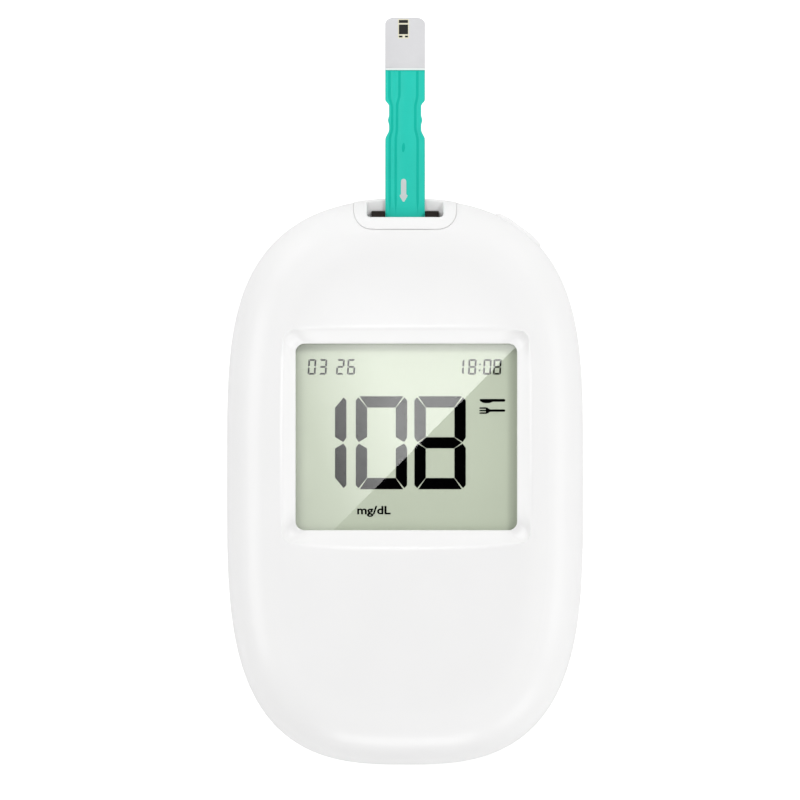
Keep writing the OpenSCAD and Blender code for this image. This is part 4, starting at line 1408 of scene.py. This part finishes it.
def rayShare(tree, camera, gloss):
    # one strength for rays from the camera or through something clear, another from mirror-like faces
    path = newNode(tree, "LightPath")
    seen = newNode(tree, "Math")
    seen.operation = "MAXIMUM"
    straight = newNode(tree, "Math", {1: camera})
    straight.operation = "MULTIPLY"
    mirrored = newNode(tree, "Math", {1: gloss})
    mirrored.operation = "MULTIPLY_ADD"
    for output, socket in ((path.outputs["Is Camera Ray"], seen.inputs[0]),
                           (path.outputs["Is Transmission Ray"], seen.inputs[1]),
                           (seen.outputs[0], straight.inputs[0]),
                           (path.outputs["Is Glossy Ray"], mirrored.inputs[0]),
                           (straight.outputs[0], mirrored.inputs[2])):
        tree.links.new(output, socket)
    return mirrored.outputs[0]


def stageSheet(name, corners, material):
    # one flat face of the studio, in metres
    mesh = bpy.data.meshes.new(name)
    mesh.from_pydata(corners, [], [tuple(range(len(corners)))])
    sheet = placed(name, mesh)
    dress(sheet, material)
    return sheet


def onlyReflected(card):
    # a card that nothing but a mirror-like face sees
    card.visible_camera = False
    card.visible_diffuse = False
    card.visible_transmission = False
    card.visible_volume_scatter = False
    card.visible_shadow = False


def makeFloor():
    half = studio["floorSize"] / 2
    material, tree, links, shader = newMaterial("pale floor")
    setInputs(shader, {"Base Color": grey(studio["floorColour"]), "Roughness": 0.9,
                       "Specular IOR Level": 0, "Emission Color": (1, 1, 1, 1)})
    links.new(rayShare(tree, studio["floorGlow"], studio["floorGloss"]), shader.inputs["Emission Strength"])
    corners = [(-half, -half), (half, -half), (half, half), (-half, half)]
    stageSheet("floor", flat(corners, -0.0001), material)


def makeSky():
    world = bpy.data.worlds.new("studio")
    bpy.context.scene.world = world
    world.use_nodes = True
    tree = world.node_tree
    level = tree.nodes["Background"]
    setInputs(level, {"Color": (1, 1, 1, 1), "Strength": studio["skyLevel"]})
    white = newNode(tree, "Background", {"Strength": 1})
    mix = newNode(tree, "MixShader")
    tree.links.new(rayShare(tree, 1, 1), mix.inputs["Fac"])
    tree.links.new(level.outputs[0], mix.inputs[1])
    tree.links.new(white.outputs[0], mix.inputs[2])
    tree.links.new(mix.outputs[0], tree.nodes["World Output"].inputs["Surface"])


def makeFlag():
    # a black card high above, so that the flat window doesn't mirror a bright ceiling
    material, _, _, shader = newMaterial("black card")
    setInputs(shader, {"Base Color": (0.002, 0.002, 0.002, 1), "Roughness": 1, "Specular IOR Level": 0})
    onlyReflected(stageSheet("overhead flag", flat(studio["flag"], studio["flagHeight"]), material))


def makeLamp(name, turn, rise, power, width, height):
    a, e, away = math.radians(turn), math.radians(rise), studio["lampDistance"]
    place = Vector((away * math.cos(e) * math.cos(a), away * math.cos(e) * math.sin(a), away * math.sin(e)))
    light = bpy.data.lights.new(name, "AREA")
    light.shape = "RECTANGLE"
    light.size, light.size_y = width, height
    light.energy = power
    lamp = placed(name, light)
    lamp.location = place
    lamp.rotation_euler = (place - Vector((0, 0, 0.01))).to_track_quat("Z", "Y").to_euler()
    lamp.visible_glossy = rise < studio["mirroredBelow"]


def makeCamera():
    # straight above the middle of the picture
    data = bpy.data.cameras.new("camera")
    data.sensor_width = 36
    data.lens = data.sensor_width * view["distance"] / view["fieldWidth"]
    data.clip_start, data.clip_end = 0.01, 20
    camera = placed("camera", data)
    x, y, _ = onDisplay(view["middlePixel"], view["middlePixel"])
    camera.location = (x * mm, y * mm, view["planeZ"] * mm + view["distance"])
    bpy.context.scene.camera = camera
    return camera


def glareCard():
    # a softbox close above the window, seen only as a reflection, whose edge crosses the glass
    height, top, eye = studio["glareHeight"] * mm, (sillZ - lensForm["gap"]) * mm, camera.location
    scale = 1 + height / (eye.z - top)
    points = []
    for corner in studio["glareCorners"]:
        x, y, _ = onDisplay(*corner)
        points.append((eye.x + (x * mm - eye.x) * scale, eye.y + (y * mm - eye.y) * scale, top + height))
    material, tree, links, shader = newMaterial("glare card")
    tree.nodes.remove(shader)
    light = newNode(tree, "Emission")
    axis = newNode(tree, "VectorMath", {1: studio["glareAxis"]})
    axis.operation = "DOT_PRODUCT"
    (near, far), (weak, strong) = studio["glareSpan"], studio["glareStrength"]
    strength = newNode(tree, "MapRange", {"From Min": near, "From Max": far,
                                          "To Min": weak, "To Max": strong})
    links.new(placeOf(tree), axis.inputs[0])
    links.new(axis.outputs["Value"], strength.inputs["Value"])
    links.new(strength.outputs["Result"], light.inputs["Strength"])
    links.new(light.outputs["Emission"], tree.nodes["Material Output"].inputs["Surface"])
    onlyReflected(stageSheet("glare card", points, material))


makeFloor()
makeSky()
makeFlag()
for lampName, lampForm in studio["lamps"].items():
    makeLamp(lampName, *lampForm)
camera = makeCamera()
glareCard()

bpy.context.scene.view_settings.view_transform = "Standard"
print("done")
